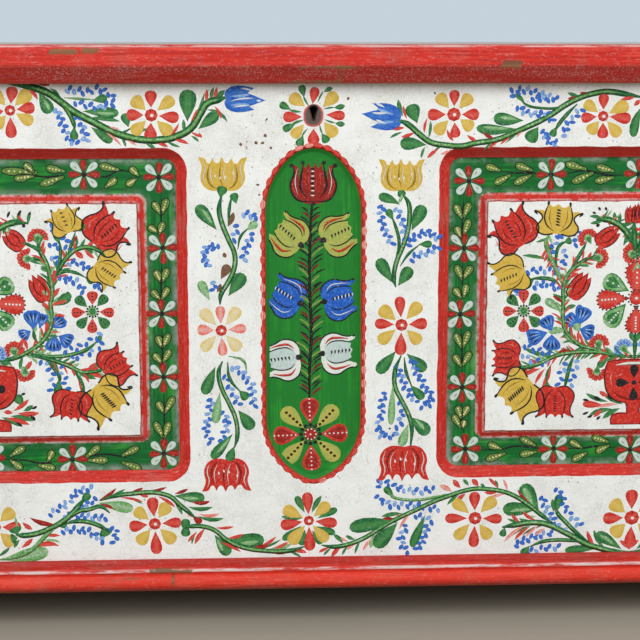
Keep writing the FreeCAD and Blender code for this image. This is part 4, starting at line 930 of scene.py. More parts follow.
def dotted_drop(brush, x, z, end_x, end_z, width, fill, seeds, rim=True):
    """A large petal or leaf with a row of white dots and, on petals, black dots round its rim."""
    brush.press(fill, x, z, end_x, end_z, width)
    along = Vector((end_x - x, end_z - z))
    if fill == "green":
        brush.press("leaf", x + along.x * 0.08, z + along.y * 0.08, end_x, end_z, width * 0.94, 0, 1)
        brush.press(
            "green", x + along.x * 0.3, z + along.y * 0.3, x + along.x * 0.88, z + along.y * 0.88,
            width * 0.62, 0, 2)
    if rim:
        across = Vector((-along.y, along.x)).normalized()
        for index in range(1, 22):
            angle = math.tau * index / 22
            share = 0.5 - 0.5 * math.cos(angle)
            reach = math.sin(angle) * share ** DROP_TAPER * DROP_WIDEST * width
            spot = Vector((x, z)) + along * share + across * reach
            brush.dot("black", spot.x, spot.y, 1.9, 3)
    for index in range(seeds):
        share = 0.42 + index * 0.42 / max(seeds - 1, 1)
        brush.dot("white", x + along.x * share, z + along.y * share, 2.2, 3)


CROWN = [
    (-6, 0), (-14, 1), (-20.5, 7), (-22, 15), (-20.5, 23), (-24, 33, 1), (-18, 32), (-14, 27), (-10, 32.5, 1),
    (-6, 27), (-1, 33.5, 1), (4, 27), (8, 32, 1), (13, 26.5), (18, 31.5), (24, 33, 1), (20.5, 22), (22, 14),
    (19.5, 6), (14, 1), (6, 0), (0, 1)]


def crown(brush, x, z, colour, size=1.0, flip=1):
    """A tulip of the columns seen from the front, with five points."""
    spot = brush.at(x, z, 0, size, flip)
    spot.patch(colour, CROWN)
    rim = "dark_red" if colour == "red" else "ochre"
    for points in (
            [(-6, 2), (-12, 6), (-15, 14), (-13, 26)], [(6, 2), (11, 6), (14, 14), (12, 26)],
            [(0, 4), (-3, 14), (-2, 28)]):
        spot.line(rim, points, 1.8, 1)
    for points in (
            [(-17, 6), (-19, 13), (-17, 23), (-19, 29)], [(17, 6), (19, 13), (17, 22), (19.5, 29)],
            [(-9, 6), (-12, 14), (-11, 25)], [(4, 5), (1, 15), (2, 26)], [(9, 7), (11, 14), (9.5, 26)]):
        spot.line("white", points, 1.1, 2)
    for dot_x, dot_z in ((-8, 14), (-3, 12), (2, 13), (10, 17)):
        spot.dab("white", dot_x, dot_z - 1.5, 80, 3.6, 1.8, 0, 2)


PETALS = {
    # an outer petal of a bouquet's tulip: outside up to its tip, then inside; along and outwards
    "l": [
        (-2, 4), (-3, 13), (1, 20), (6, 23.5), (13, 23), (20, 20), (27, 19.5), (33, 23, 1), (31, 17),
        (28, 11.5, 1)],
    "s": [
        (-2, 4), (-3.5, 12), (0, 17.5), (6, 19), (12, 16), (16, 14.5), (20, 16), (24, 21.5, 1), (25, 16),
        (23.5, 11.5, 1)],
}
MOUTH = [(34, 9.5, 1), (29.5, 6), (33, 1, 1), (29, -4), (32.5, -9.5, 1)]


def tulip(brush, x, z, angle, size, tall, fill, seeds, kinds):
    """A tulip of the bouquets, which opens towards its angle: a cup between two long or short petals."""
    brush = brush.at(x, z, angle, size)
    rim = [(x * tall, z) for x, z in ((1, 3), (7, 9.5), (15, 12.5), (24, 12), (33.5, 9.5))]
    left, right = ([(x * tall, z, *sharp) for x, z, *sharp in PETALS[kind]] for kind in kinds)
    mouth = [(x * tall, z, *sharp) for x, z, *sharp in MOUTH]
    brush.patch(fill, left + mouth + [(x, -z, *sharp) for x, z, *sharp in reversed(right)])
    for side, petal in ((1, left), (-1, right)):
        flank = brush.at(0, 0, 0, 1, side)
        flank.line("black", petal[:-2], 1.4, 2, tail=0.9)
        flank.line("black", rim, 1.3, 2)
        flank.dab("black", petal[-3][0] - 4, petal[-3][1] - 2.6, 38, 5.4, 2.8, 0, 2)
        flank.dab("black", 29 * tall, 10.6, -10, 5.4, 2.4, 0, 2)
        if fill == "red":
            flank.line("pink", [(3, 13), (9, 17.5), (17, 17)], 1.5, 1)
            flank.line("dark_red", [(6, 4), (14, 7), (24, 6)], 1.6, 1)
        else:
            flank.line("ochre", [(4, 5), (12, 8), (22, 7.5)], 1, 1)
    for index in range(seeds):
        brush.dab("black", (8 + index * 17 / max(seeds - 1, 1)) * tall, -2.4, 76, 4.8, 1.7, 0, 3, "comma")


def barbs(brush, points):
    """Fine curved strokes on both sides of a stem, like the needles of a twig."""
    for first, second in zip(points, points[1:]):
        along = Vector(second) - Vector(first)
        count = round(along.length / 2.7)
        for index in range(count):
            spot = Vector(first).lerp(Vector(second), (index + hand.random()) / count)
            side = hand.choice((-1, 1))
            colour = hand.choice(("red", "green", "leaf", "red", "green"))
            angle = heading(*along) + side * about(24, 0.4)
            brush.dab(colour, *spot, angle, about(12.5, 0.3), about(2.5, 0.3), side * 34, 0, "comma")


def heart(brush, x, z):
    """The middle of a bouquet: eight dotted petals round a dotted disc."""
    for index in range(8):
        angle = index * 45 + hand.uniform(-4, 4)
        colour = "green" if index % 2 else "red"
        brush.dab(colour, *ring(x, z, 6.4, angle), angle, about(15, 0.06), about(11, 0.06))
        for reach in (12, 15, 18):
            brush.dot("black", *ring(x, z, reach, angle), 1.9, 3)
    brush.dot("leaf", x, z, 10)
    brush.dot("green", x, z, 7, 2)
    for index in range(12):
        brush.dot("black", *ring(x, z, 5.6, index * 30), 2.2, 2)


MOTIFS = {
    "hearts": heart, "rosettes": rosette, "pods": pod, "flowers": band_flower, "lobes": lobe,
    "carnations": carnation, "buds": bud, "tulips": tulip, "crowns": crown, "drops": dotted_drop}


def pairs(numbers):
    """The points of a row, which gives two numbers for each."""
    return list(zip(numbers[::2], numbers[1::2]))


def draw(brush, art):
    """Lay down everything a pattern lists."""
    for colour, width, *numbers in art.get("stems", ()):
        points = pairs(numbers)
        brush.line(colour, points, width * 1.35)
        if width > 2.5 and colour == "green":
            brush.line("leaf", points[1:-1], width * 0.7, round(width) + 1)
    for colour in (key for key in art if key in PAINTS):
        for x, z, end_x, end_z, width, *more in art[colour]:
            bend, layer = (*more, 0, 0)[:2]
            kind = "comma" if width < 6.5 and colour != "blue" else "drop"
            if kind == "comma" and not bend:
                bend = hand.choice((-24, 24))
            if colour == "blue" and width > 10:
                x, z, end_x, end_z, bend = end_x, end_z, x, z, -bend
            width *= 0.95 if kind == "comma" else 1.12
            brush.press(colour, x, z, end_x, end_z, width, bend, layer, kind)
    if "barbed" in art:
        for colour, width, *numbers in art["stems"]:
            if width > 3:
                barbs(brush, pairs(numbers))
    for key, motif in MOTIFS.items():
        for row in art.get(key, ()):
            motif(brush, *row)
    for count, *numbers in art.get("sprays", ()):
        spray(brush, round(count * (0.85 if "barbed" in art else 1.3)), pairs(numbers))


def side_tulip(brush, fill, cup, stripe, seed_colour):
    """A tulip of the oval, seen from the side: a body between two curled petals."""
    body = [
        (0, 0), (2, 7.5), (9, 12), (17, 12.5), (25, 11), (31, 8.5, 1), (29.5, 4), (31.5, 1), (29, -4),
        (30, -8, 1), (24, -11), (16, -12.5), (8, -11.5), (2, -7)]
    petal = [
        (-1, 1), (-4, 10), (-2, 18), (5, 24), (14, 25), (22, 21), (29, 19), (35, 20, 1), (36, 17), (30, 13),
        (22, 11), (12, 11), (4, 8)]
    for side, depth in ((1, 0.86), (-1, 1)):
        flank = brush.at(0, 0, 0, 1, side)
        grown = [(x, z * depth if z > 11 else z, *sharp) for x, z, *sharp in petal]
        flank.patch(fill, grown)
        flank.line("black", grown[1:8], 1.5, 2)
        flank.dot("black", 34.5, 19 * depth, 3, 2)
        flank.line(
            stripe, [(x, z * depth) for x, z in ((2, 12), (8, 18), (16, 18.5), (28, 16))],
            1.3 if stripe == "white" else 2.6, 2)
    brush.patch(cup, body, 1)
    brush.line("black", body[1:6], 1.4, 3)
    brush.line("black", body[9:], 1.4, 3)
    brush.dab("black", -8, 0, 0, 9, 7, 0, 2)
    for index in range(6):
        spot = 7.5 + index * 4
        brush.dab("black", spot, -2.4, 78, 5, 2.2, 0, 3)
        if seed_colour == "white":
            brush.dab("white", spot + 1.8, -2.2, 78, 4.4, 1.4, 0, 4)


class CHEST_OT_paint_oval(bpy.types.Operator):
    """Paint the tulips, the stem, the rosette and the scalloped rim of the oval recess"""

    bl_idname = "chest.paint_oval"
    bl_label = "Paint the Oval"

    def execute(self, context):
        brush = brush_for("chest", "oval")
        self.stem(brush)
        self.top_tulip(brush)
        for spots, *looks in (
                (((12, 394, 24), (-14, 390, 138)), "olive", "olive", "red", "black"),
                (((13, 332, 14), (-15, 331, 148)), "blue", "blue", "white", "white"),
                (((11, 279, 6), (-17, 275, 186)), "white", "frost", "red", "black")):
            for x, z, angle in spots:
                side_tulip(brush.at(x, z, angle, 0.9, -1 if angle > 90 else 1), *looks)
        self.flower(brush.at(-3, 196))
        self.scallops(brush_for("chest", "frame"))
        return {"FINISHED"}

    @staticmethod
    def stem(brush):
        """The black stem with fine red, green and black barbs."""
        points = [(-4, 232), (-4, 262), (-2, 300), (-4, 350), (-3, 400), (-1, 434)]
        brush.line("black", points, 3.2, 0, tail=0.6)
        brush.patch("black", [(-7, 434.5), (5, 434.5), (1, 428), (-3, 428)])
        for step in range(38):
            z = 234 + step * 5
            for side in (-1, 1):
                colour = ("black", "russet", "black", "black", "moss")[(step + (side > 0)) % 5]
                length = about(16.5 if z < 390 else 12, 0.2)
                angle = 90 - side * about(24, 0.3)
                brush.dab(
                    colour, -3 + side * 0.5, z + hand.uniform(-1, 1), angle, length,
                    2 if colour == "black" else 2.8, -side * 52, 0, "comma")

    @staticmethod
    def top_tulip(brush):
        """The red tulip at the head, seen from the front."""
        body = [
            (-9, 434), (9, 434), (14, 443), (13, 456), (9, 464), (8.5, 471, 1), (5, 465), (2, 471, 1),
            (-1, 465), (-5, 470, 1), (-8, 465), (-11, 469, 1), (-12, 456), (-13, 443)]
        petal = [
            (0, 432), (15, 433), (21, 440), (22.5, 450), (19, 459), (20, 468, 1), (15.5, 466), (14, 456),
            (13, 444), (6, 437)]
        for side in (1, -1):
            wing = [(side * x, z, *sharp) for x, z, *sharp in petal]
            brush.patch("dark_red", wing)
            brush.line("black", wing[:6], 1.7, 2)
            for colour, points, width, layer in (
                    ("black", [(6, 435), (12.5, 444), (12, 457), (9.5, 469)], 2, 3),
                    ("white", [(15, 438), (18, 450), (15.6, 465)], 1.1, 3),
                    ("red", [(11, 436), (20, 444), (19, 456)], 2, 1)):
                brush.line(colour, [(side * x, z) for x, z in points], width, layer)
            brush.dot("black", side * 21.5, 467, 4.6, 3)
            brush.dot("black", side * 10.5, 470, 4, 3)
        brush.patch("dark_red", body, 1)
        for x in (-8, -4.5, 3, 7):
            brush.line("red", [(x * 0.7, 440), (x, 452), (x * 0.8, 464)], 1.8, 2)
        for index in range(6):
            brush.dab("black", -3.6, 440 + index * 4.8, 0, 5, 2.6, 0, 3)
            brush.dab("white", -3, 437.6 + index * 4.8, 0, 4, 1.5, 0, 3)

    @staticmethod
    def flower(brush):
        """The large rosette at the foot: dotted petals round a dotted disc."""
        for index in range(8):
            angle = index * 45 + 2
            if index % 2:
                brush.dab("olive", *ring(0, 0, 8, angle), angle, 31, 18)
                for step in range(5):
                    brush.dot("black", *ring(0, 0, 14 + step * 4.8, angle), 3.2, 3)
            else:
                brush.dab("red", *ring(0, 0, 10, angle), angle, 28, 20)
                brush.dab("dark_red", *ring(0, 0, 14, angle), angle, 22.5, 15, 0, 1)
                for step in range(6):
                    brush.dot("white", *ring(0, 0, 15 + step * 4.3, angle), 1.9, 3)
        brush.dot("dark_red", 0, 0, 14.5, 1)
        for index in range(12):
            brush.dot("black", *ring(0, 0, 9.6, index * 30), 4.2, 2)
        for index in range(9):
            brush.dot("white", *ring(0, 0, 5.4, index * 40), 1.8, 3)
        brush.dot("white", 0, 0, 2, 3)

    @staticmethod
    def scallops(brush):
        """Small red arches round the recess, along its edge."""
        edge = []
        for up in (1, -1):
            spring, rise, tip = OVAL_CAPS[up]
            lean = OVAL_HALF - tip
            flank = (OVAL_HALF ** 2 + rise ** 2 - tip ** 2) / (2 * lean)
            limit = int(heading(flank - OVAL_HALF, rise))
            part = [ring(OVAL_HALF - flank, spring, flank, up * turn) for turn in range(0, limit, 3)]
            part += [ring(0, spring + up * rise, tip, up * turn) for turn in range(limit, 91, 4)]
            edge += part[::up]
        top, foot = [spot for spot in edge if spot[1] > 320], [spot for spot in edge if spot[1] <= 320]
        outline = foot + [(OVAL_HALF, 213 + step * 7) for step in range(1, 30)] + top
        band = outline[::4] + [outline[-1]]
        brush.line("red", band + [(-x, z) for x, z in reversed(band[:-1])][:-1], 3, 0, closed=True)
        walked = 0.0
        for first, second in zip(outline, outline[1:]):
            walked += math.dist(first, second)
            if walked < SCALLOP_PITCH:
                continue
            walked = 0.0
            for side in (1, -1):
                turn = heading(side * (second[0] - first[0]), second[1] - first[1])
                middle = ring(side * first[0], first[1], 0.4, turn - side * 90)
                spot = ring(*middle, -SCALLOP_PITCH * 0.5, turn)
                colour = hand.choice(("red", "red", "red", "red", "red", "pink"))
                brush.dab(colour, *spot, turn, SCALLOP_PITCH * 1.12, about(5.4, 0.1), 0, 1, "dot")


# Where each stroke lies, in millimetres: x from the middle of the front, z above the floor.
# A stroke runs from its tail to its round end: x, z, end x, end z, width, then its bend in degrees and
# its layer. A stem is a colour, a width and then the x and z of each of its points. A spray is a number
# of dabs and then the same.
KEYHOLE = {
    "yellow": [
        (9, 524, 23, 538, 12), (-8, 525, -23, 536, 12), (-9, 508, -21, 495, 10), (10, 510, 22, 496, 12)],
    "red": [(-1, 527, 2, 544, 9), (12, 517, 31, 516, 9), (0, 504, 0, 488, 11), (-11, 515, -30, 515, 10)],
    "green": [
        (4, 528, 10, 540, 2), (10, 539, 19, 543, 5), (9, 522, 21, 524, 2), (20, 524, 31, 526, 6),
        (10, 513, 22, 509, 2), (21, 509, 31, 508, 6), (6, 508, 9, 498, 2), (8, 499, 14, 490, 8),
        (-5, 504, -12, 495, 2), (-10, 497, -15, 486, 8), (-9, 512, -22, 507, 3), (-17, 509, -30, 502, 7),
        (-11, 520, -24, 522, 3), (-22, 522, -33, 528, 7), (-4, 525, -10, 536, 2.4), (-9, 534, -12, 546, 7)],
}
FRIEZE_RIGHT = {
    "stems": [
        ("green", 4.4, 82, 512, 92, 508, 105, 497, 115, 490, 130, 487, 146, 486, 160, 489, 180, 492,
            200, 500, 230, 514, 250, 527, 262, 533, 275, 537, 290, 539, 305, 537, 326, 533),
        ("leaf", 2, 140, 487, 160, 490, 182, 493, 202, 502, 230, 515, 250, 528),
        ("green", 2, 202, 533, 210, 526, 225, 523, 240, 523, 250, 526),
        ("green", 3, 260, 527, 250, 517, 242, 507, 238, 500)],
    "green": [
        (88, 515, 83, 532, 5), (88, 500, 75, 494, 3), (113, 493, 115, 511, 3.4, 20), (110, 486, 106, 474, 3),
        (112, 487, 85, 488, 12, 20), (102, 508, 95, 527, 14), (222, 505, 212, 490, 13),
        (262, 535, 250, 538, 4), (326, 526, 317, 494, 9, 40), (203, 503, 160, 504, 10, -20),
        (208, 511, 177, 514, 12, -14), (240, 505, 235, 495, 7), (178, 490, 168, 482, 2.4, 20),
        (203, 499, 190, 489, 2.4, 20), (128, 487, 118, 480, 2.4), (208, 528, 197, 537, 5)],
    "leaf": [(196, 504, 166, 505, 4.6, -20), (202, 511, 183, 514, 5)],
    "red": [
        (92, 512, 88, 526, 3), (90, 504, 78, 502, 4), (100, 500, 86, 495, 4), (124, 484, 112, 474, 4, 20),
        (151, 497, 161, 491, 4), (131, 503, 138, 491, 4, 30), (302, 531, 319, 536, 5, 20),
        (185, 492, 172, 483, 2.6, 20), (197, 497, 184, 487, 2.6, 20), (112, 514, 109, 499, 3, 30),
        (316, 525, 322, 531, 5)],
    "pink": [(136, 483, 125, 478, 3), (210, 505, 200, 494, 2.6, 20)],
    "dark_red": [(166, 500, 178, 493, 4, 20), (265, 532, 250, 532, 4), (275, 537, 262, 538, 4)],
    "blue": [(86, 513, 46, 518, 15), (86, 514, 57, 528, 12, 24), (86, 512, 55, 505, 12, -24)],
    "sky": [(80, 517, 62, 523, 4, -14, 1), (80, 510, 62, 508, 4, 14, 1)],
    "white": [
        (74, 519, 57, 519, 2.4, -20, 1), (70, 524, 61, 528, 2.6, 10, 1), (70, 509, 61, 512, 2.6, -10, 1)],
    "chip": [(33, 531, 35, 534, 3), (120, 536, 118, 539, 2)],
    "rosettes": [
        (138, 517, [(138, 541), (155, 536), (163, 517), (157, 503), (140, 494), (120, 498), (112, 517),
            (122, 537)], 7),
        (286, 515, [(286, 537), (311, 527), (314, 512), (303, 495), (286, 493), (272, 498), (264, 513),
            (267, 529)], 5.5)],
    "sprays": [
        (11, 193, 533, 196, 539, 208, 541, 224, 537, 241, 531),
        (9, 199, 526, 208, 519, 220, 516, 229, 518, 236, 510), (4, 213, 533, 232, 532),
        (6, 227, 503, 229, 495, 234, 488, 241, 489), (7, 245, 494, 252, 508, 265, 523)],
}
FRIEZE_LEFT = {
    "stems": [
        ("green", 5.5, -296, 548, -272, 544, -258, 539, -245, 530, -232, 520, -215, 511, -200, 503,
            -185, 497, -165, 493, -150, 493, -135, 496, -120, 504, -110, 519, -104, 528, -93, 532, -85, 534),
        ("leaf", 2.4, -262, 540, -247, 530, -234, 520, -217, 511, -202, 503),
        ("leaf", 2, -242, 534, -228, 533, -212, 532),
        ("green", 3.4, -262, 540, -246, 530, -238, 520, -233, 509, -232, 503),
        ("green", 2.2, -255, 543, -250, 540, -245, 534), ("green", 1.8, -191, 500, -184, 501, -176, 506)],
    "green": [
        (-266, 540, -255, 519, 12), (-215, 531, -200, 534, 8), (-233, 506, -233, 493, 8),
        (-225, 521, -189, 519, 10), (-220, 514, -188, 511, 5, -20), (-180, 505, -184, 519, 9),
        (-217, 506, -196, 491, 9), (-176, 498, -160, 504, 3), (-127, 499, -127, 513, 4, 20),
        (-123, 510, -122, 542, 16), (-100, 530, -97, 544, 4), (-96, 530, -86, 541, 6),
        (-113, 503, -93, 519, 11), (-120, 497, -112, 491, 3, -30), (-145, 493, -130, 486, 3),
        (-165, 492, -154, 485, 4), (-188, 498, -183, 486, 3, -20), (-105, 522, -84, 510, 4, -70),
        (-116, 514, -106, 539, 3, 20)],
    "leaf": [(-262, 533, -256, 522, 5), (-212, 520, -193, 519, 4.6)],
    "red": [
        (-278, 544, -267, 532, 4, -40), (-112, 500, -109, 495, 3), (-138, 494, -122, 489, 4, -20),
        (-155, 491, -142, 486, 4, -20), (-105, 529, -104, 542, 4, 20), (-98, 531, -94, 544, 4, 20),
        (-120, 510, -113, 523, 3, 20), (-97, 526, -90, 513, 3, -40), (-131, 510, -141, 497, 3.4, -40),
        (-120, 501, -109, 496, 3)],
    "dark_red": [(-117, 510, -110, 524, 3, 20), (-268, 547, -255, 546, 4)],
    "pink": [(-187, 496, -172, 487, 3, -20), (-204, 502, -187, 487, 3, -20), (-206, 505, -188, 503, 2.4)],
    "blue": [(-84, 532, -46, 531, 15), (-86, 533, -57, 543, 14, -24), (-86, 532, -57, 522, 14, 24)],
    "sky": [(-82, 535, -62, 537, 4, 14, 1), (-82, 526, -62, 527, 4, -14, 1)],
    "white": [
        (-82, 530, -58, 533, 1.8, -24, 1), (-80, 524, -62, 526, 1.6, -20, 1),
        (-72, 543, -59, 540, 2, -20, 1), (-56, 531, -51, 531, 2.4, 0, 1)],
    "chip": [
        (-73, 488, -70, 489, 4), (-66, 485, -65, 486, 2.4), (-66, 491, -65, 491, 2), (-49, 496, -46, 498, 4),
        (-58, 489, -55, 491, 4), (-52, 489, -48, 490, 3), (-43, 484, -41, 486, 3.4), (-47, 511, -45, 514, 2),
        (-57, 449, -53, 449, 2.4), (-54, 438, -53, 440, 2.4)],
    "rosettes": [
        (-294, 522, [(-291, 545), (-274, 540), (-270, 525), (-272, 510), (-293, 495), (-309, 505),
            (-313, 520), (-310, 540)], 5.5),
        (-158, 517, [(-158, 541), (-136, 534), (-131, 514), (-139, 498), (-159, 493), (-177, 499),
            (-182, 517), (-176, 534)], 6.5, 11)],
    "sprays": [
        (10, -243, 541, -235, 542, -221, 539, -209, 543, -197, 537, -192, 531),
        (7, -233, 530, -222, 527, -209, 524, -195, 528),
        (9, -251, 525, -245, 513, -242, 503, -237, 492, -230, 489),
        (6, -230, 518, -225, 508, -223, 499, -222, 491)],
}
FOOT_FRIEZE_RIGHT = {
    "stems": [
        ("green", 3.6, 8, 81, 20, 79, 34, 81, 50, 87, 65, 96, 78, 104, 92, 111, 105, 117, 122, 125, 138, 131,
            150, 135, 165, 138, 180, 137, 192, 135, 205, 130, 220, 120, 235, 108, 246, 100),
        ("leaf", 2.4, 76, 136, 80, 131, 90, 128, 105, 127, 120, 129, 136, 133),
        ("green", 4.6, 193, 97, 205, 99, 218, 101, 232, 101, 243, 98, 255, 92, 268, 85, 280, 78, 295, 73,
            310, 69, 330, 68), ("green", 3.4, 248, 118, 250, 111, 258, 102, 270, 90, 284, 79),
        ("green", 3, 222, 76, 235, 81, 250, 82.5, 262, 82, 280, 79)],
    "green": [
        (82, 130, 72, 141, 7), (114, 112, 100, 77, 9), (91, 113, 69, 110, 5, 20), (87, 104, 36, 98, 14, 16),
        (86, 104, 62, 78, 15), (30, 82, 20, 92, 5, 30), (42, 86, 33, 91, 4), (35, 80, 29, 70, 3, 20),
        (18, 78, 10, 70, 3, 20), (48, 86, 42, 71, 3, 20), (158, 141, 152, 148, 4), (175, 139, 170, 143, 3),
        (188, 137, 185, 147, 3), (150, 134, 136, 121, 4, 20), (196, 97, 193, 87, 7),
        (232, 116, 193, 116, 14), (231, 113, 213, 142, 15), (228, 101, 210, 106, 4, -20),
        (215, 101, 198, 106, 3.4, -20), (246, 112, 244, 126, 6), (249, 112, 252, 131, 9),
        (224, 98, 198, 84, 3.4, 40), (238, 99, 214, 88, 3, 30), (300, 73, 288, 93, 5, -40),
        (296, 73, 258, 71, 8, 10), (318, 71, 290, 89, 11, 10), (222, 77, 214, 67, 8)],
    "leaf": [
        (78, 103, 42, 97, 7, 12), (82, 100, 66, 81, 5), (224, 115, 200, 113, 5), (226, 118, 214, 138, 7),
        (228, 108, 218, 108, 3), (310, 76, 294, 87, 5), (105, 92, 101, 80, 4), (62, 92, 58, 77, 6, 10)],
    "red": [
        (150, 139, 142, 148, 6), (168, 140, 161, 148, 6), (155, 133, 146, 125, 5, 20),
        (188, 138, 178, 149, 4, 20), (212, 101, 202, 111, 4, -20), (290, 74, 281, 92, 5, -30),
        (326, 71, 315, 81, 5), (28, 79, 18, 68, 5, 30), (188, 134, 174, 134, 4),
        (228, 104, 214, 114, 4, -50), (222, 97, 206, 83, 4, 30), (16, 78, 5, 73, 3.6, 30)],
    "pink": [
        (141, 135, 128, 142, 6), (198, 134, 193, 148, 3, 20), (196, 132, 178, 127, 3.6),
        (218, 99, 195, 81, 4, 30), (238, 95, 227, 88, 4, 20), (44, 84, 34, 75, 3.4, 20),
        (60, 88, 50, 74, 3.4, 20), (36, 84, 25, 90, 3), (90, 112, 79, 114, 4), (100, 115, 87, 96, 3.4, 20),
        (232, 99, 217, 86, 3.4, 20)],
    "dark_red": [(228, 115, 208, 137, 4, -30), (85, 106, 69, 107, 5), (290, 76, 300, 72, 3)],
    "rosettes": [
        (165, 107, [(164, 135), (186, 128), (193, 106), (181, 85), (164, 76), (145, 85), (134, 107),
            (142, 126)], 7)],
    "sprays": [
        (12, 63, 140, 68, 148, 80, 142, 95, 137, 108, 136, 123, 138),
        (13, 65, 134, 68, 127, 80, 121, 97, 122, 113, 120, 129, 117), (4, 101, 111, 110, 109, 122, 104),
        (7, 96, 102, 92, 94, 89, 86, 91, 77, 97, 72), (7, 117, 102, 115, 93, 111, 84, 106, 74),
        (9, 247, 139, 254, 129, 257, 118, 265, 107, 275, 96),
        (9, 233, 131, 236, 121, 241, 110, 248, 100, 257, 91), (9, 205, 76, 216, 83, 229, 87, 245, 90),
        (8, 208, 67, 222, 71, 238, 74, 254, 75)],
}
BAY_ROSETTE = {
    "rosettes": [
        (2, 105, [(1, 135), (23, 123), (30, 105), (22, 86), (1, 74), (-18, 86), (-28, 105), (-20, 123),
            ], 8, 12)],
}
FOOT_ROSETTE = {
    "green": [
        (-9, 115, -18, 133, 7), (-2, 115, 8, 133, 6, -20), (3, 109, 24, 119, 7), (2, 101, 22, 93, 7),
        (-11, 110, -33, 112, 6), (-12, 102, -32, 87, 7), (-2, 97, 8, 82, 7), (-9, 98, -14, 81, 8, -20)],
    "rosettes": [
        (-5, 107, [(-7, 137), (16, 125), (24, 104), (14, 85), (-4, 75), (-25, 83), (-34, 102), (-31, 121),
            ], 5.5, 11)],
}
FOOT_FRIEZE_LEFT = {
    "stems": [
        ("green", 4.4, -301, 97, -294, 96, -283, 97, -268, 102, -255, 109, -245, 117, -237, 126, -231, 134),
        ("leaf", 3.4, -262, 102, -269, 97, -276, 90, -285, 81, -300, 74, -318, 71),
        ("green", 3.4, -256, 108, -246, 115, -235, 121, -227, 122, -215, 125, -206, 118),
        ("green", 3.6, -253, 107, -240, 110, -228, 109, -215, 104, -208, 99),
        ("green", 3.6, -216, 131, -200, 136, -182, 138, -166, 139, -152, 137, -143, 133, -137, 127,
            -128, 119, -119, 111),
        ("green", 3.6, -131, 101, -123, 103, -110, 102, -100, 98, -91, 90, -80, 83, -65, 78, -50, 76,
            -35, 75, -22, 76, -9, 80)],
    "green": [
        (-299, 94, -306, 92, 10), (-299, 97, -302, 105, 12), (-235, 128, -226, 139, 8),
        (-240, 123, -226, 121, 6), (-262, 108, -249, 106, 7), (-214, 104, -209, 94, 13),
        (-320, 74, -307, 84, 4, 20), (-305, 76, -272, 83, 6, 10), (-130, 96, -130, 111, 9),
        (-130, 106, -130, 92, 9), (-142, 135, -110, 132, 11), (-128, 124, -102, 123, 5, 50),
        (-118, 114, -91, 111, 5, 50), (-120, 97, -124, 84, 2.6, 20), (-101, 94, -86, 72, 12),
        (-90, 88, -50, 87, 14), (-60, 78, -33, 88, 3, 30), (-28, 76, -12, 68, 3, -20),
        (-205, 136, -190, 143, 3, 20), (-168, 140, -152, 143, 3, 20), (-187, 134, -173, 127, 3, -20),
        (-142, 131, -133, 115, 4, -20), (-297, 92, -303, 83, 4, 20)],
    "leaf": [
        (-318, 70, -268, 79, 14), (-218, 129, -182, 122, 11), (-297, 102, -301, 116, 3, -20),
        (-275, 90, -256, 88, 3, -40), (-134, 134, -116, 132, 5), (-98, 90, -92, 76, 5),
        (-76, 85, -56, 86, 6), (-50, 76, -22, 83, 6, 20)],
    "red": [
        (-294, 110, -284, 102, 5), (-296, 83, -284, 93, 5), (-256, 95, -269, 95, 4),
        (-257, 84, -280, 84, 6, 60), (-118, 97, -128, 86, 3.4, 20), (-110, 101, -121, 84, 5, 20),
        (-131, 121, -122, 112, 5), (-100, 101, -81, 102, 3.4), (-96, 86, -74, 75, 4, -20),
        (-88, 90, -71, 94, 4, 30), (-60, 78, -38, 91, 4, 30), (-42, 78, -26, 85, 4, 30),
        (-24, 75, -7, 73, 5, -40), (-196, 134, -172, 129, 3, -20), (-178, 138, -167, 134, 5, -20),
        (-158, 135, -140, 123, 4, -20)],
    "dark_red": [
        (-287, 115, -262, 107, 6, 40), (-218, 131, -199, 144, 4, 30), (-190, 136, -172, 144, 5, 20),
        (-164, 140, -149, 144, 3.4, 20), (-141, 137, -127, 142, 4, 20), (-124, 129, -105, 129, 5, 50),
        (-123, 114, -114, 106, 7), (-216, 128, -202, 122, 4), (-62, 79, -46, 80, 5), (-46, 75, -26, 74, 4)],
    "pink": [(-117, 116, -95, 116, 4, 50)],
    "rosettes": [
        (-161, 106, [(-163, 134), (-147, 127), (-134, 107), (-141, 86), (-159, 74), (-178, 85), (-187, 103),
            (-181, 122)], 6.5, 11)],
    "sprays": [
        (11, -268, 117, -257, 123, -246, 131, -237, 142, -223, 144),
        (9, -218, 132, -229, 128, -240, 120, -254, 111), (7, -240, 115, -226, 114, -210, 113),
        (10, -256, 100, -242, 101, -227, 99, -212, 88), (4, -204, 105, -200, 98, -202, 86)],
}
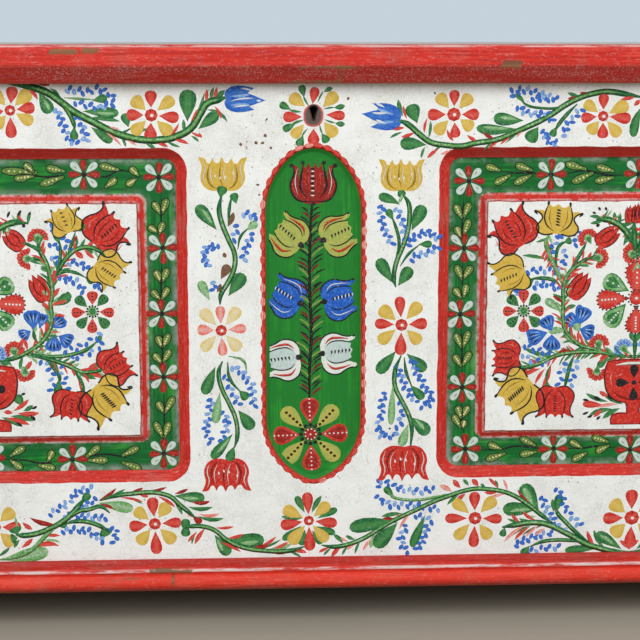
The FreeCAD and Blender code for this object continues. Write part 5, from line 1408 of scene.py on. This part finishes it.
COLUMN_RIGHT = {
    "stems": [
        ("green", 3.6, 87, 440, 94, 430, 95, 415, 93, 400, 88, 385, 82, 370, 80, 355, 82, 346),
        ("green", 2.6, 76, 420, 82, 405, 85, 390, 82, 376), ("green", 2.4, 86, 367, 95, 380, 106, 389),
        ("green", 3.6, 88, 277, 82, 262, 82, 245, 88, 232, 95, 218, 99, 205, 98, 180),
        ("green", 2.8, 91, 275, 93, 260, 99, 245)],
    "green": [
        (86, 428, 64, 437, 9, 30), (97, 402, 109, 428, 13), (79, 413, 73, 424, 7), (104, 389, 118, 389, 7),
        (79, 350, 64, 375, 12), (84, 347, 97, 366, 12), (83, 282, 64, 259, 12), (97, 247, 111, 232, 9),
        (93, 279, 113, 261, 12), (97, 214, 117, 196, 13), (85, 446, 88, 436, 8)],
    "leaf": [(80, 250, 78, 205, 7), (96, 207, 88, 183, 9), (102, 212, 112, 200, 5), (88, 440, 84, 430, 4)],
    "black": [(77, 203, 77, 201, 3)],
    "crowns": [(87, 442, "yellow", 0.95), (91, 184, "red", 1.1, -1)],
    "rosettes": [
        (88, 308, [(86, 337), (107, 330), (114, 309), (107, 289), (87, 277), (65, 290), (61, 310),
            (66, 326)], 6.5, 11)],
    "sprays": [
        (9, 68, 430, 67, 418, 68, 408, 73, 399, 78, 388), (7, 81, 427, 87, 416, 90, 404, 92, 394),
        (9, 92, 388, 101, 397, 112, 402, 125, 394), (7, 95, 373, 104, 378, 116, 381, 125, 387),
        (14, 98, 275, 104, 258, 113, 243, 120, 234, 116, 226, 108, 224),
        (9, 84, 268, 88, 254, 95, 240, 104, 228),
        (14, 74, 240, 69, 230, 68, 215, 65, 203, 70, 193, 80, 194, 85, 201), (5, 86, 232, 90, 222, 87, 206)],
}
COLUMN_LEFT = {
    "stems": [
        ("green", 3.8, -90, 440, -93, 425, -90, 410, -84, 395, -78, 380, -79, 365, -85, 352, -92, 340,
            -93, 330), ("green", 2.6, -80, 440, -83, 425, -84, 408),
        ("green", 2.2, -75, 385, -72, 398, -62, 408),
        ("green", 3.4, -91, 273, -95, 262, -92, 245, -85, 230, -78, 212, -77, 195, -80, 184),
        ("green", 2.8, -86, 272, -84, 255, -72, 240), ("leaf", 2.2, -85, 278, -70, 273, -67, 262)],
    "green": [
        (-95, 404, -115, 429, 12), (-92, 436, -89, 448, 10), (-76, 430, -79, 441, 8),
        (-85, 338, -69, 361, 13), (-98, 268, -110, 239, 11), (-76, 223, -61, 203, 12),
        (-81, 199, -103, 173, 10), (-80, 186, -86, 170, 9), (-75, 243, -66, 234, 9)],
    "leaf": [
        (-66, 404, -56, 412, 8), (-103, 334, -113, 354, 9), (-94, 242, -99, 209, 9), (-84, 196, -98, 179, 4),
        (-100, 410, -110, 425, 5)],
    "chip": [
        (-84, 408, -79, 422, 6), (-90, 378, -86, 380, 6), (-92, 355, -84, 370, 9), (-96, 342, -92, 351, 5),
        (-79, 359, -77, 361, 3)],
    "crowns": [(-89, 443, "yellow", 1), (-88, 173, "red", 1.03, -1)],
    "rosettes": [
        (-92, 304, [(-93, 329), (-74, 327), (-67, 306), (-73, 284), (-91, 278), (-112, 284), (-116, 305),
            (-112, 325)], 6, 10, ("pink", "sand"))],
    "sprays": [
        (4, -71, 421, -55, 417), (3, -74, 410, -80, 394), (6, -58, 402, -65, 392, -70, 374),
        (9, -93, 386, -104, 389, -109, 380, -104, 368), (2, -98, 354, -99, 344),
        (6, -89, 260, -84, 246, -74, 226), (11, -83, 268, -72, 261, -62, 248, -60, 226),
        (10, -102, 236, -105, 216, -109, 202, -103, 189), (7, -91, 223, -86, 208, -93, 191)],
}
CHANNEL_RIGHT = {
    "stems": [
        ("black", 1.4, 150, 440, 149, 414, 148, 392), ("black", 1.4, 150, 372, 150, 352, 149, 330),
        ("black", 1.4, 149, 305, 150, 282, 151, 255), ("black", 1.4, 151, 230, 150, 211, 153, 195),
        ("black", 1.4, 186, 461, 200, 459, 217, 459, 226, 458),
        ("black", 1.4, 250, 457, 272, 461, 290, 457, 310, 456),
        ("black", 1.4, 172, 177, 192, 177, 205, 180, 228, 178, 238, 177),
        ("black", 1.4, 256, 177, 275, 177, 290, 179, 310, 177)],
    "flowers": [(155, 451), (151, 384), (148, 317), (151, 242), (155, 178), (237, 457), (246, 177)],
    "pods": [
        (141, 428, 149, 413), (156, 430, 150, 414), (142, 406, 148, 394), (156, 413, 150, 396),
        (143, 367, 150, 351), (159, 366, 150, 352), (141, 344, 149, 333), (154, 348, 151, 333),
        (143, 298, 150, 282), (157, 300, 151, 282), (142, 276, 150, 263), (159, 279, 151, 264),
        (146, 223, 151, 209), (158, 223, 151, 210), (142, 214, 150, 200), (154, 208, 152, 199),
        (178, 183, 193, 177), (176, 166, 197, 173), (211, 189, 228, 180), (211, 171, 229, 174),
        (262, 185, 276, 177), (265, 164, 281, 173), (285, 189, 303, 183), (289, 173, 304, 180),
        (171, 466, 187, 461), (180, 448, 197, 457), (201, 467, 219, 461), (200, 448, 218, 457),
        (251, 468, 273, 462), (258, 449, 280, 459), (282, 465, 301, 460), (281, 450, 301, 454)],
}
CHANNEL_LEFT = {
    "stems": [
        ("black", 1.4, -150, 442, -150, 420, -151, 398), ("black", 1.4, -150, 374, -151, 352, -152, 332),
        ("black", 1.4, -151, 308, -151, 286, -151, 268), ("black", 1.4, -150, 244, -150, 219, -151, 190),
        ("black", 1.4, -305, 460, -280, 459, -262, 457, -245, 459),
        ("black", 1.4, -210, 457, -203, 457, -190, 463, -172, 458),
        ("black", 1.4, -312, 173, -290, 172, -275, 169, -255, 171),
        ("black", 1.4, -232, 173, -215, 177, -200, 176, -182, 171)],
    "flowers": [(-152, 456), (-149, 386), (-151, 320), (-150, 256), (-151, 177), (-225, 459), (-243, 172)],
    "pods": [
        (-158, 432, -150, 419), (-144, 435, -150, 419), (-163, 408, -153, 401), (-148, 412, -153, 399),
        (-157, 364, -151, 351), (-144, 366, -151, 351), (-161, 344, -152, 334), (-144, 347, -151, 334),
        (-156, 298, -151, 285), (-144, 300, -151, 285), (-160, 280, -151, 269), (-143, 284, -151, 270),
        (-157, 231, -150, 218), (-140, 236, -150, 218), (-160, 210, -151, 193), (-145, 210, -151, 192),
        (-207, 171, -228, 171), (-215, 186, -230, 174), (-176, 184, -194, 175), (-174, 161, -194, 169),
        (-262, 182, -268, 170), (-260, 163, -278, 167), (-290, 186, -306, 176), (-293, 163, -306, 173),
        (-262, 466, -243, 462), (-268, 449, -244, 457), (-305, 463, -270, 461), (-283, 470, -273, 461),
        (-293, 455, -273, 458), (-210, 468, -190, 463), (-193, 455, -205, 446), (-184, 448, -173, 455),
        (-180, 466, -171, 457)],
}
FIELD_RIGHT = {
    "hearts": [(211, 321)],
    "barbed": True,
    "stems": [
        ("green", 3.4, 325, 274, 300, 275, 285, 281, 270, 285, 261, 292, 254, 300, 251, 312, 251, 330,
            251, 346, 255, 357, 262, 365, 272, 372, 284, 377),
        ("green", 3.4, 325, 272, 303, 275, 288, 278, 262, 278, 245, 275, 228, 267, 212, 263, 204, 266),
        ("green", 3, 248, 346, 240, 352, 228, 354, 216, 353),
        ("green", 2.6, 245, 352, 243, 380, 247, 388, 254, 391),
        ("leaf", 3.4, 236, 399, 232, 390, 235, 380, 240, 368, 246, 356, 250, 346),
        ("green", 3, 264, 277, 259, 264, 256, 250, 254, 240), ("leaf", 3, 251, 300, 257, 292, 264, 286),
        ("green", 3, 256, 358, 262, 370, 268, 380, 273, 390), ("green", 2.6, 240, 266, 236, 255, 236, 240),
        ("green", 5, 282, 412, 290, 413, 300, 410, 310, 403, 317, 394, 322, 382),
        ("green", 5, 320, 412, 321, 398, 322, 385, 326, 372)],
    "green": [
        (248, 273, 209, 285, 5, -30), (221, 353, 211, 345, 8), (236, 372, 208, 377, 4, 20),
        (250, 390, 258, 392, 7), (252, 322, 264, 326, 5), (250, 330, 240, 338, 4, 20),
        (282, 386, 288, 392, 7), (290, 280, 286, 292, 4), (300, 275, 288, 262, 7, 20),
        (203, 262, 205, 250, 4), (216, 264, 204, 254, 7), (212, 263, 204, 270, 5), (236, 250, 231, 238, 5),
        (236, 250, 240, 237, 5), (300, 227, 276, 236, 5, -30), (305, 219, 280, 213, 6, 30),
        (312, 220, 294, 209, 6, 30), (315, 224, 293, 237, 5, -30), (300, 411, 300, 420, 4),
        (304, 407, 306, 419, 4), (290, 412, 276, 409, 4), (290, 413, 275, 416, 4), (262, 293, 258, 305, 4),
        (325, 288, 320, 299, 6)],
    "leaf": [
        (250, 318, 232, 332, 8, 30), (258, 300, 236, 300, 7, 20), (268, 298, 264, 308, 8),
        (318, 284, 312, 280, 7), (236, 398, 238, 404, 6)],
    "red": [
        (276, 280, 270, 292, 4, -20), (234, 262, 224, 246, 4, 20), (230, 262, 208, 253, 5, 20),
        (240, 266, 231, 242, 5), (296, 223, 273, 225, 7), (294, 219, 285, 211, 5, 20),
        (300, 232, 290, 238, 5), (322, 398, 309, 395, 4, 20), (325, 400, 330, 385, 4),
        (251, 350, 253, 344, 4)],
    "dark_red": [(251, 328, 240, 336, 4, 20), (262, 280, 246, 278, 4)],
    "pink": [(310, 224, 288, 221, 4)],
    "black": [
        (280, 228, 273, 229, 3), (280, 217, 273, 214, 3), (292, 228, 284, 232, 4), (284, 213, 278, 211, 3),
        (292, 212, 288, 208, 3), (306, 229, 298, 234, 4), (286, 421, 284, 425, 3), (292, 421, 291, 425, 3),
        (282, 418, 278, 420, 2.6), (286, 408, 282, 406, 4)],
    "blue": [(255, 240, 252, 236, 5)],
    "lobes": [
        (240, 300, 232, 315, 18), (236, 299, 215, 292, 19), (240, 297, 240, 280, 20),
        (266, 304, 253, 315, 18), (266, 305, 274, 325, 19), (268, 302, 283, 297, 19)],
    "carnations": [
        (275, 393, 120), (285, 374, 0), (320, 378, 180), (288, 286, 100), (287, 259, 265),
        (314, 281, 130, "sky", "blue")],
    "buds": [
        (259, 334, 275, 358, 18), (284, 388, 305, 403, 17), (316, 409, 316, 426, 10),
        (322, 409, 324, 428, 10)],
    "tulips": [
        (206.5, 388, 123, 1.07, 1, "red", 6, "sl"), (243, 400, 86, 1.1, 0.78, "yellow", 6, "ss"),
        (210, 361, 202, 0.93, 1, "yellow", 6, "sl"), (206, 273, 180, 0.78, 1, "red", 6, "ll"),
        (218, 248, 222, 1.22, 0.84, "yellow", 8, "ls"), (245, 241, 269, 0.82, 1.1, "red", 7, "ll")],
    "drops": [(318, 340, 291, 353, 20, "green", 3, False), (315, 328, 295, 305, 20, "green", 5, False)],
    "sprays": [
        (3, 203, 336, 206, 344), (10, 218, 345, 232, 349, 246, 343), (9, 212, 361, 228, 362, 246, 361),
        (3, 241, 396, 248, 397), (4, 237, 378, 241, 391), (5, 252, 384, 250, 366),
        (7, 256, 399, 266, 400, 260, 386), (7, 210, 287, 222, 282, 238, 276),
        (7, 208, 278, 220, 270, 237, 267), (6, 258, 268, 250, 257, 249, 244),
        (7, 269, 271, 263, 259, 260, 242)],
}
FIELD_LEFT = {
    "hearts": [(-219, 324)],
    "barbed": True,
    "stems": [
        ("green", 3.6, -325, 274, -300, 277, -285, 283, -272, 292, -263, 303, -259, 316, -260, 330,
            -258, 345, -260, 360, -263, 372, -269, 385, -272, 397),
        ("green", 2.6, -257, 357, -251, 370, -249, 385, -251, 399),
        ("green", 2.6, -257, 356, -246, 364, -235, 363, -225, 358),
        ("green", 3.6, -258, 352, -251, 366, -243, 378, -233, 386, -221, 388, -210, 384, -204, 378),
        ("green", 3, -243, 378, -238, 391, -234, 403),
        ("green", 3, -285, 283, -270, 280, -255, 279, -240, 281, -225, 286, -214, 295),
        ("green", 3, -270, 280, -259, 268, -253, 258, -254, 250),
        ("green", 3.4, -285, 281, -262, 276, -245, 270, -230, 263, -215, 264, -206, 267),
        ("green", 3, -240, 267, -233, 256, -230, 245, -232, 235),
        ("green", 3, -268, 292, -265, 303, -257, 306), ("green", 3, -273, 291, -277, 300, -277, 309),
        ("green", 3, -262, 372, -272, 377, -282, 377), ("green", 2.6, -266, 380, -280, 391, -291, 393),
        ("green", 5, -280, 412, -292, 413, -304, 409, -318, 398, -324, 380)],
    "green": [
        (-251, 392, -252, 402, 8), (-226, 359, -217, 353, 7), (-254, 256, -255, 240, 9),
        (-216, 293, -210, 299, 6), (-258, 330, -241, 341, 10, 20), (-246, 338, -240, 342, 7),
        (-262, 371, -285, 379, 4, -20), (-240, 268, -212, 258, 4, 20), (-238, 264, -216, 256, 4, 20),
        (-226, 264, -212, 272, 6), (-232, 244, -226, 233, 8), (-234, 403, -236, 414, 11),
        (-230, 403, -224, 411, 6), (-290, 228, -297, 240, 9, 20), (-303, 219, -279, 214, 6, -20),
        (-312, 218, -291, 208, 6, -20), (-290, 224, -280, 230, 5), (-300, 277, -308, 270, 6),
        (-288, 285, -296, 292, 4), (-288, 281, -292, 266, 4), (-280, 410, -277, 424, 4),
        (-290, 413, -287, 423, 4)],
    "leaf": [
        (-262, 305, -255, 302, 8), (-277, 303, -277, 311, 6), (-271, 392, -270, 401, 9),
        (-262, 340, -268, 345, 5), (-290, 270, -286, 264, 6), (-284, 377, -280, 378, 6)],
    "red": [
        (-259, 330, -243, 335, 4, -20), (-258, 322, -246, 320, 4, 20), (-260, 328, -269, 334, 4),
        (-258, 345, -263, 335, 5), (-236, 384, -227, 377, 6), (-226, 387, -216, 377, 4),
        (-268, 283, -276, 296, 4, 20), (-284, 285, -288, 298, 4), (-292, 278, -288, 298, 5),
        (-236, 262, -230, 238, 5), (-230, 264, -208, 256, 5, -20), (-226, 264, -216, 272, 4),
        (-300, 222, -309, 223, 5), (-296, 222, -274, 222, 6), (-308, 217, -284, 210, 6, -20),
        (-300, 224, -284, 236, 5, 20), (-290, 264, -280, 275, 5, 30)],
    "dark_red": [
        (-252, 272, -238, 268, 5), (-238, 391, -232, 399, 4), (-260, 318, -254, 322, 4),
        (-262, 318, -256, 312, 5), (-269, 294, -262, 300, 4)],
    "black": [
        (-282, 226, -276, 229, 3), (-284, 220, -278, 214, 4), (-292, 240, -287, 242, 3),
        (-298, 213, -291, 208, 3), (-290, 418, -286, 425, 3), (-280, 420, -277, 423, 2.6),
        (-286, 411, -283, 408, 4), (-300, 417, -297, 424, 3)],
    "lobes": [
        (-277, 306, -279, 326, 19), (-272, 307, -266, 322, 12), (-262, 308, -246, 317, 16),
        (-280, 305, -291, 299, 15), (-253, 300, -240, 292, 18), (-257, 302, -259, 284, 18)],
    "carnations": [
        (-271, 397, 95), (-281, 377, 180), (-297, 284, 110), (-287, 264, 265),
        (-315, 281, 60, "sky", "blue"), (-320, 380, 0)],
    "buds": [(-264, 336, -277, 360, 18), (-286, 388, -303, 404, 17)],
    "tulips": [
        (-214, 392, 42, 1.07, 0.95, "red", 6, "ls"), (-240, 404, 112, 0.84, 0.9, "yellow", 4, "ss"),
        (-214, 371, 325, 0.92, 0.9, "yellow", 6, "ls"), (-208, 263, 30, 0.84, 0.95, "red", 5, "ll"),
        (-217, 247, 312, 1.2, 0.84, "yellow", 8, "sl"), (-240, 242, 262, 0.84, 1, "red", 5, "ll")],
    "drops": [(-319, 342, -296, 354, 20, "green", 3, False), (-317, 328, -299, 308, 20, "green", 4, False)],
    "sprays": [
        (4, -259, 403, -253, 410), (4, -261, 392, -250, 388), (4, -259, 380, -251, 374),
        (5, -245, 401, -243, 390, -240, 384), (7, -244, 372, -232, 373, -222, 366),
        (7, -251, 360, -244, 355, -233, 354), (3, -231, 352, -227, 344), (3, -217, 351, -212, 349),
        (9, -207, 302, -220, 296, -234, 287, -249, 284), (8, -207, 292, -221, 283, -242, 276),
        (8, -272, 276, -262, 268, -259, 254, -261, 243), (8, -257, 237, -249, 239, -246, 249, -253, 271)],
}
FIELD_MIDDLE = {
    "drops": [
        (0, 0, 0, 37, 24, "red", 4), (-8, 0, -40, -2, 21, "red", 5), (8, 0, 40, -2, 21, "red", 5),
        (0, -8, 0, -36, 21, "red", 5)],
}
VASE = [
    (-27, 66, 1), (-29.5, 58), (-30, 47), (-26, 33), (-17, 25), (-8, 23.5, 1), (-6.5, 18), (-6.5, 12.5, 1),
    (-19, 11.5), (-22, 9), (-22.5, 1, 1), (22.5, 1, 1), (22, 9), (19, 11.5), (6.5, 12.5, 1), (6.5, 18),
    (8, 23.5, 1), (17, 25), (26, 33), (30, 47), (29.5, 58), (27, 66, 1), (14, 67.5), (-14, 67.5)]


class CHEST_OT_paint_friezes(bpy.types.Operator):
    """Paint the garlands above and below the panels"""

    bl_idname = "chest.paint_friezes"
    bl_label = "Paint the Friezes"

    def execute(self, context):
        for design, *patterns in (
                ("right", FRIEZE_RIGHT, FOOT_FRIEZE_RIGHT), ("left", FRIEZE_LEFT, FOOT_FRIEZE_LEFT),
                ("chest", KEYHOLE, FOOT_ROSETTE), ("bay", BAY_ROSETTE)):
            for pattern in patterns:
                draw(brush_for(design, "frame"), pattern)
        return {"FINISHED"}


class CHEST_OT_paint_columns(bpy.types.Operator):
    """Paint the tulips and rosettes that stand beside the panels"""

    bl_idname = "chest.paint_columns"
    bl_label = "Paint the Columns"

    def execute(self, context):
        draw(brush_for("right", "frame"), COLUMN_RIGHT)
        draw(brush_for("left", "frame"), COLUMN_LEFT)
        return {"FINISHED"}


class CHEST_OT_paint_channels(bpy.types.Operator):
    """Paint the flowers and pods in the green channels"""

    bl_idname = "chest.paint_channels"
    bl_label = "Paint the Channels"

    def execute(self, context):
        draw(brush_for("right", "channel"), CHANNEL_RIGHT)
        draw(brush_for("left", "channel"), CHANNEL_LEFT)
        draw(brush_for("bay", "channel"), {"flowers": [(0, 457), (0, 175)]})
        return {"FINISHED"}


class CHEST_OT_paint_fields(bpy.types.Operator):
    """Paint a vase with a bouquet on each raised field"""

    bl_idname = "chest.paint_fields"
    bl_label = "Paint the Fields"

    def execute(self, context):
        draw(brush_for("right", "field"), FIELD_RIGHT)
        draw(brush_for("left", "field"), FIELD_LEFT)
        brush = brush_for("bay", "field")
        brush.line("green", [(0, 300), (0, 285), (0, 268)], 5)
        flower = brush.at(0, 333)
        draw(flower, FIELD_MIDDLE)
        for index in range(14):
            flower.dot("black", *ring(0, 0, 8.5, index * 360 / 14), 2, 2)
        flower.dot("red", 0, 0, 15, 3)
        flower.dot("white", 0, 0, 3.4, 4)
        self.vase(brush.at(0, 202.5))
        return {"FINISHED"}

    @staticmethod
    def vase(brush):
        """The red vase with four black drops on its cup."""
        brush.patch("red", VASE)
        brush.line("dark_red", VASE, 1.5, 1, closed=True)
        brush.line("black", [(-29, 62), (-30, 48), (-27, 34), (-17, 25), (-8, 23)], 1.1, 2)
        brush.line("black", [(29, 62), (30, 48), (27, 34), (17, 25), (8, 23)], 1.1, 2)
        brush.line("dark_red", [(-22, 36), (-12, 29), (12, 29), (22, 36)], 2.4, 1)
        brush.line("white", [(-19, 62), (-8, 63.5), (8, 63.5), (19, 62)], 3.4, 1)
        brush.line("white", [(-16, 51), (-13, 53)], 2, 1)
        brush.line("pink", [(-22, 56), (-24, 48), (-21, 38)], 2, 1)
        for angle in (0, 90, 180, 270):
            brush.dab("black", *ring(0, 44, 4, angle), angle, 14.5, 9.5, 0, 2)
        brush.dot("black", 0, 44, 5.4, 2)


class CHEST_OT_finish_paint(bpy.types.Operator):
    """Lay the patterns on the sides of the chest, one piece for each side and colour"""

    bl_idname = "chest.finish_paint"
    bl_label = "Finish the Paint"

    def execute(self, context):
        patterns = {
            (design, plane, colour): sheet.colour_mesh(colour)
            for (design, plane), sheet in sheets.items() for colour in PAINTS if sheet.holds(colour)}
        for side in SIDES:
            for colour in PAINTS:
                copies = []
                for (design, plane, painted), pattern in patterns.items():
                    for where, place in places(design):
                        if where == side and painted == colour:
                            copy = pattern.copy()
                            copy.transform(plane_matrix(side, plane) @ place)
                            copies.append(bpy.data.objects.new(f"{side}_{colour}", copy))
                if copies:
                    self.finish(copies, side, colour)
        return {"FINISHED"}

    @staticmethod
    def finish(copies, side, colour):
        """Join the copies of one colour on one side into a piece of the chest, cut off at its corners."""
        laid_out(copies)
        if len(copies) > 1:
            bpy.ops.object.join()
        piece = bpy.context.object
        piece.name = f"{side}_{colour}"
        bpy.ops.object.mode_set(mode="EDIT")
        for corner, outwards in zip(*CORNERS[side == "front"]):
            bpy.ops.mesh.select_all(action="SELECT")
            bpy.ops.mesh.bisect(plane_co=corner, plane_no=outwards, use_fill=True, clear_outer=True)
        bpy.ops.mesh.select_all(action="SELECT")
        bpy.ops.mesh.normals_make_consistent(inside=False)
        bpy.ops.object.mode_set(mode="OBJECT")
        piece.data.materials.clear()
        piece.data.materials.append(paint_of(colour))
        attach(piece, "chest")


IRON = ("hinge", "lock", "staple", "keyhole")  # how the names of the iron solids start


class CHEST_OT_finish_solids(bpy.types.Operator):
    """Give every solid of the chest its paint, wood or iron"""

    bl_idname = "chest.finish_solids"
    bl_label = "Finish the Solids"

    def execute(self, context):
        paint = colours()
        pine, dark = paint.pine, paint.pine_dark
        made = {
            f"{side}_{part}": painted_wall(f"{side}_{part}_paint", side == "end", part == "panel", axis)
            for side, long_axis in (("front", "x"), ("end", "y"))
            for part, axis in (("rail", long_axis), ("stile", "z"), ("panel", "z"))}
        made |= {
            "moulding_x": moulding_material("red_moulding_front", "x"),
            "moulding_y": moulding_material("red_moulding_side", "y"),
            "foot": moulding_material("turned_foot_red", "z"),
            "lid_board": lid_material("lid_board_paint"),
            "lid_batten": wood_material("bare_pine_across", "y", pine, dark),
            "board": wood_material("bare_pine_long", "x", pine, dark),
            "till": wood_material("till_pine", "y", shade(pine, 1.15), shade(dark, 1.3)),
            "iron": iron_material("forged_iron"),
        }
        for node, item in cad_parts.items():
            item.data.materials.clear()
            item.data.materials.append(made[self.finish_of(node)])
        return {"FINISHED"}

    @staticmethod
    def finish_of(node):
        """Which finish a solid has, from its name."""
        if node.startswith(("front", "end")):
            part = next((part for part in ("panel", "rail") if part in node), "stile")
            return f"{node.split('_')[0]}_{part}"
        if "moulding" in node:
            return "moulding_x" if node.endswith("front") else "moulding_y"
        if "nails" in node or node.startswith(IRON):
            return "iron"
        starts = ("lid_board", "lid_batten", "till", "foot")
        return next((start for start in starts if node.startswith(start)), "board")


class CHEST_OT_studio(bpy.types.Operator):
    """Add the floor, the lights and the camera"""

    bl_idname = "chest.studio"
    bl_label = "Set the Studio"

    def execute(self, context):
        setting = context.scene.chest_studio
        bpy.ops.mesh.primitive_plane_add(size=24, location=(0, 0, 0))
        floor = context.object
        floor.name = "studio_floor"
        shader = Shader("studio_floor")
        cloudy = shader.noise(0.004, detail=3)
        shader.feed("Base Color", shader.mix(shade(setting.floor, 0.96), setting.floor, cloudy))
        shader.feed("Roughness", 0.8)
        floor.data.materials.append(shader.material)

        world = bpy.data.worlds.new("studio_world")
        context.scene.world = world
        world.use_nodes = True
        sky = Nodes(world.node_tree)
        seen = sky.node("ShaderNodeBackground", {}, (*setting.backdrop, 1), 1.0)
        lit = sky.node("ShaderNodeBackground", {}, (1, 1, 1, 1), setting.fill)
        shown = 0
        for ray in ("Is Camera Ray", "Is Transmission Ray", "Is Glossy Ray"):
            shown = sky.sum("MAXIMUM", sky.node("ShaderNodeLightPath", {}, out=ray), shown)
        both = sky.node("ShaderNodeMixShader", {}, shown, lit, seen)
        sky.tree.links.new(both.socket, sky.tree.nodes["World Output"].inputs["Surface"])

        for name, place, size, power in (
                ("key_light", (-0.9, -2.8, 2.0), 2.4, setting.key_power),
                ("side_light", (2.2, -1.8, 1.6), 1.6, setting.key_power * 0.35)):
            bpy.ops.object.light_add(type="AREA", location=place)
            lamp = context.object
            lamp.name = name
            lamp.data.size = size
            lamp.data.energy = power
            aim = Vector((0, -0.2, 0.3)) - Vector(place)
            lamp.rotation_euler = aim.to_track_quat("-Z", "Y").to_euler()

        bpy.ops.object.camera_add(
            location=(setting.camera_x, setting.camera_y, setting.camera_z),
            rotation=(math.pi / 2 - setting.camera_tilt, 0, -setting.camera_turn))
        camera = context.object
        camera.name = "photo_camera"
        camera.data.lens = setting.lens
        camera.data.sensor_width = 36
        context.scene.camera = camera
        context.scene.view_settings.view_transform = "Standard"
        return {"FINISHED"}


class CHEST_PT_panel(bpy.types.Panel):
    """Buttons for each part of the work"""

    bl_label = "Wedding Chest"
    bl_idname = "CHEST_PT_panel"
    bl_space_type = "VIEW_3D"
    bl_region_type = "UI"
    bl_category = "Chest"

    def draw(self, context):
        for operator in OPERATORS:
            self.layout.operator(operator.bl_idname)


GROUPS = (ChestColours, StrokeSizes, StudioSettings)
OPERATORS = (
    CHEST_OT_finish_solids, CHEST_OT_paint_oval, CHEST_OT_paint_friezes, CHEST_OT_paint_columns,
    CHEST_OT_paint_channels, CHEST_OT_paint_fields, CHEST_OT_finish_paint, CHEST_OT_studio)


def register():
    """Make the settings, the operators and the panel known."""
    for item in (*GROUPS, *OPERATORS, CHEST_PT_panel):
        bpy.utils.register_class(item)
    bpy.types.Scene.chest_colours = bpy.props.PointerProperty(type=ChestColours)
    bpy.types.Scene.chest_strokes = bpy.props.PointerProperty(type=StrokeSizes)
    bpy.types.Scene.chest_studio = bpy.props.PointerProperty(type=StudioSettings)


def unregister():
    """Take them away again."""
    del bpy.types.Scene.chest_studio
    del bpy.types.Scene.chest_strokes
    del bpy.types.Scene.chest_colours
    for item in reversed((*GROUPS, *OPERATORS, CHEST_PT_panel)):
        bpy.utils.unregister_class(item)


def main():
    """Make everything in order."""
    register()
    bpy.ops.chest.finish_solids()
    stencils["drop"] = make_stencil("drop_stroke", 16, DROP_TAPER)
    stencils["comma"] = make_stencil("comma_stroke", 12, 0.7, 0.4)
    stencils["dot"] = make_stencil("dot_stroke", 8, 0.0)
    bpy.ops.chest.paint_oval()
    bpy.ops.chest.paint_friezes()
    bpy.ops.chest.paint_columns()
    bpy.ops.chest.paint_channels()
    bpy.ops.chest.paint_fields()
    bpy.ops.chest.finish_paint()
    bpy.ops.chest.studio()


if __name__ == "__main__":
    main()
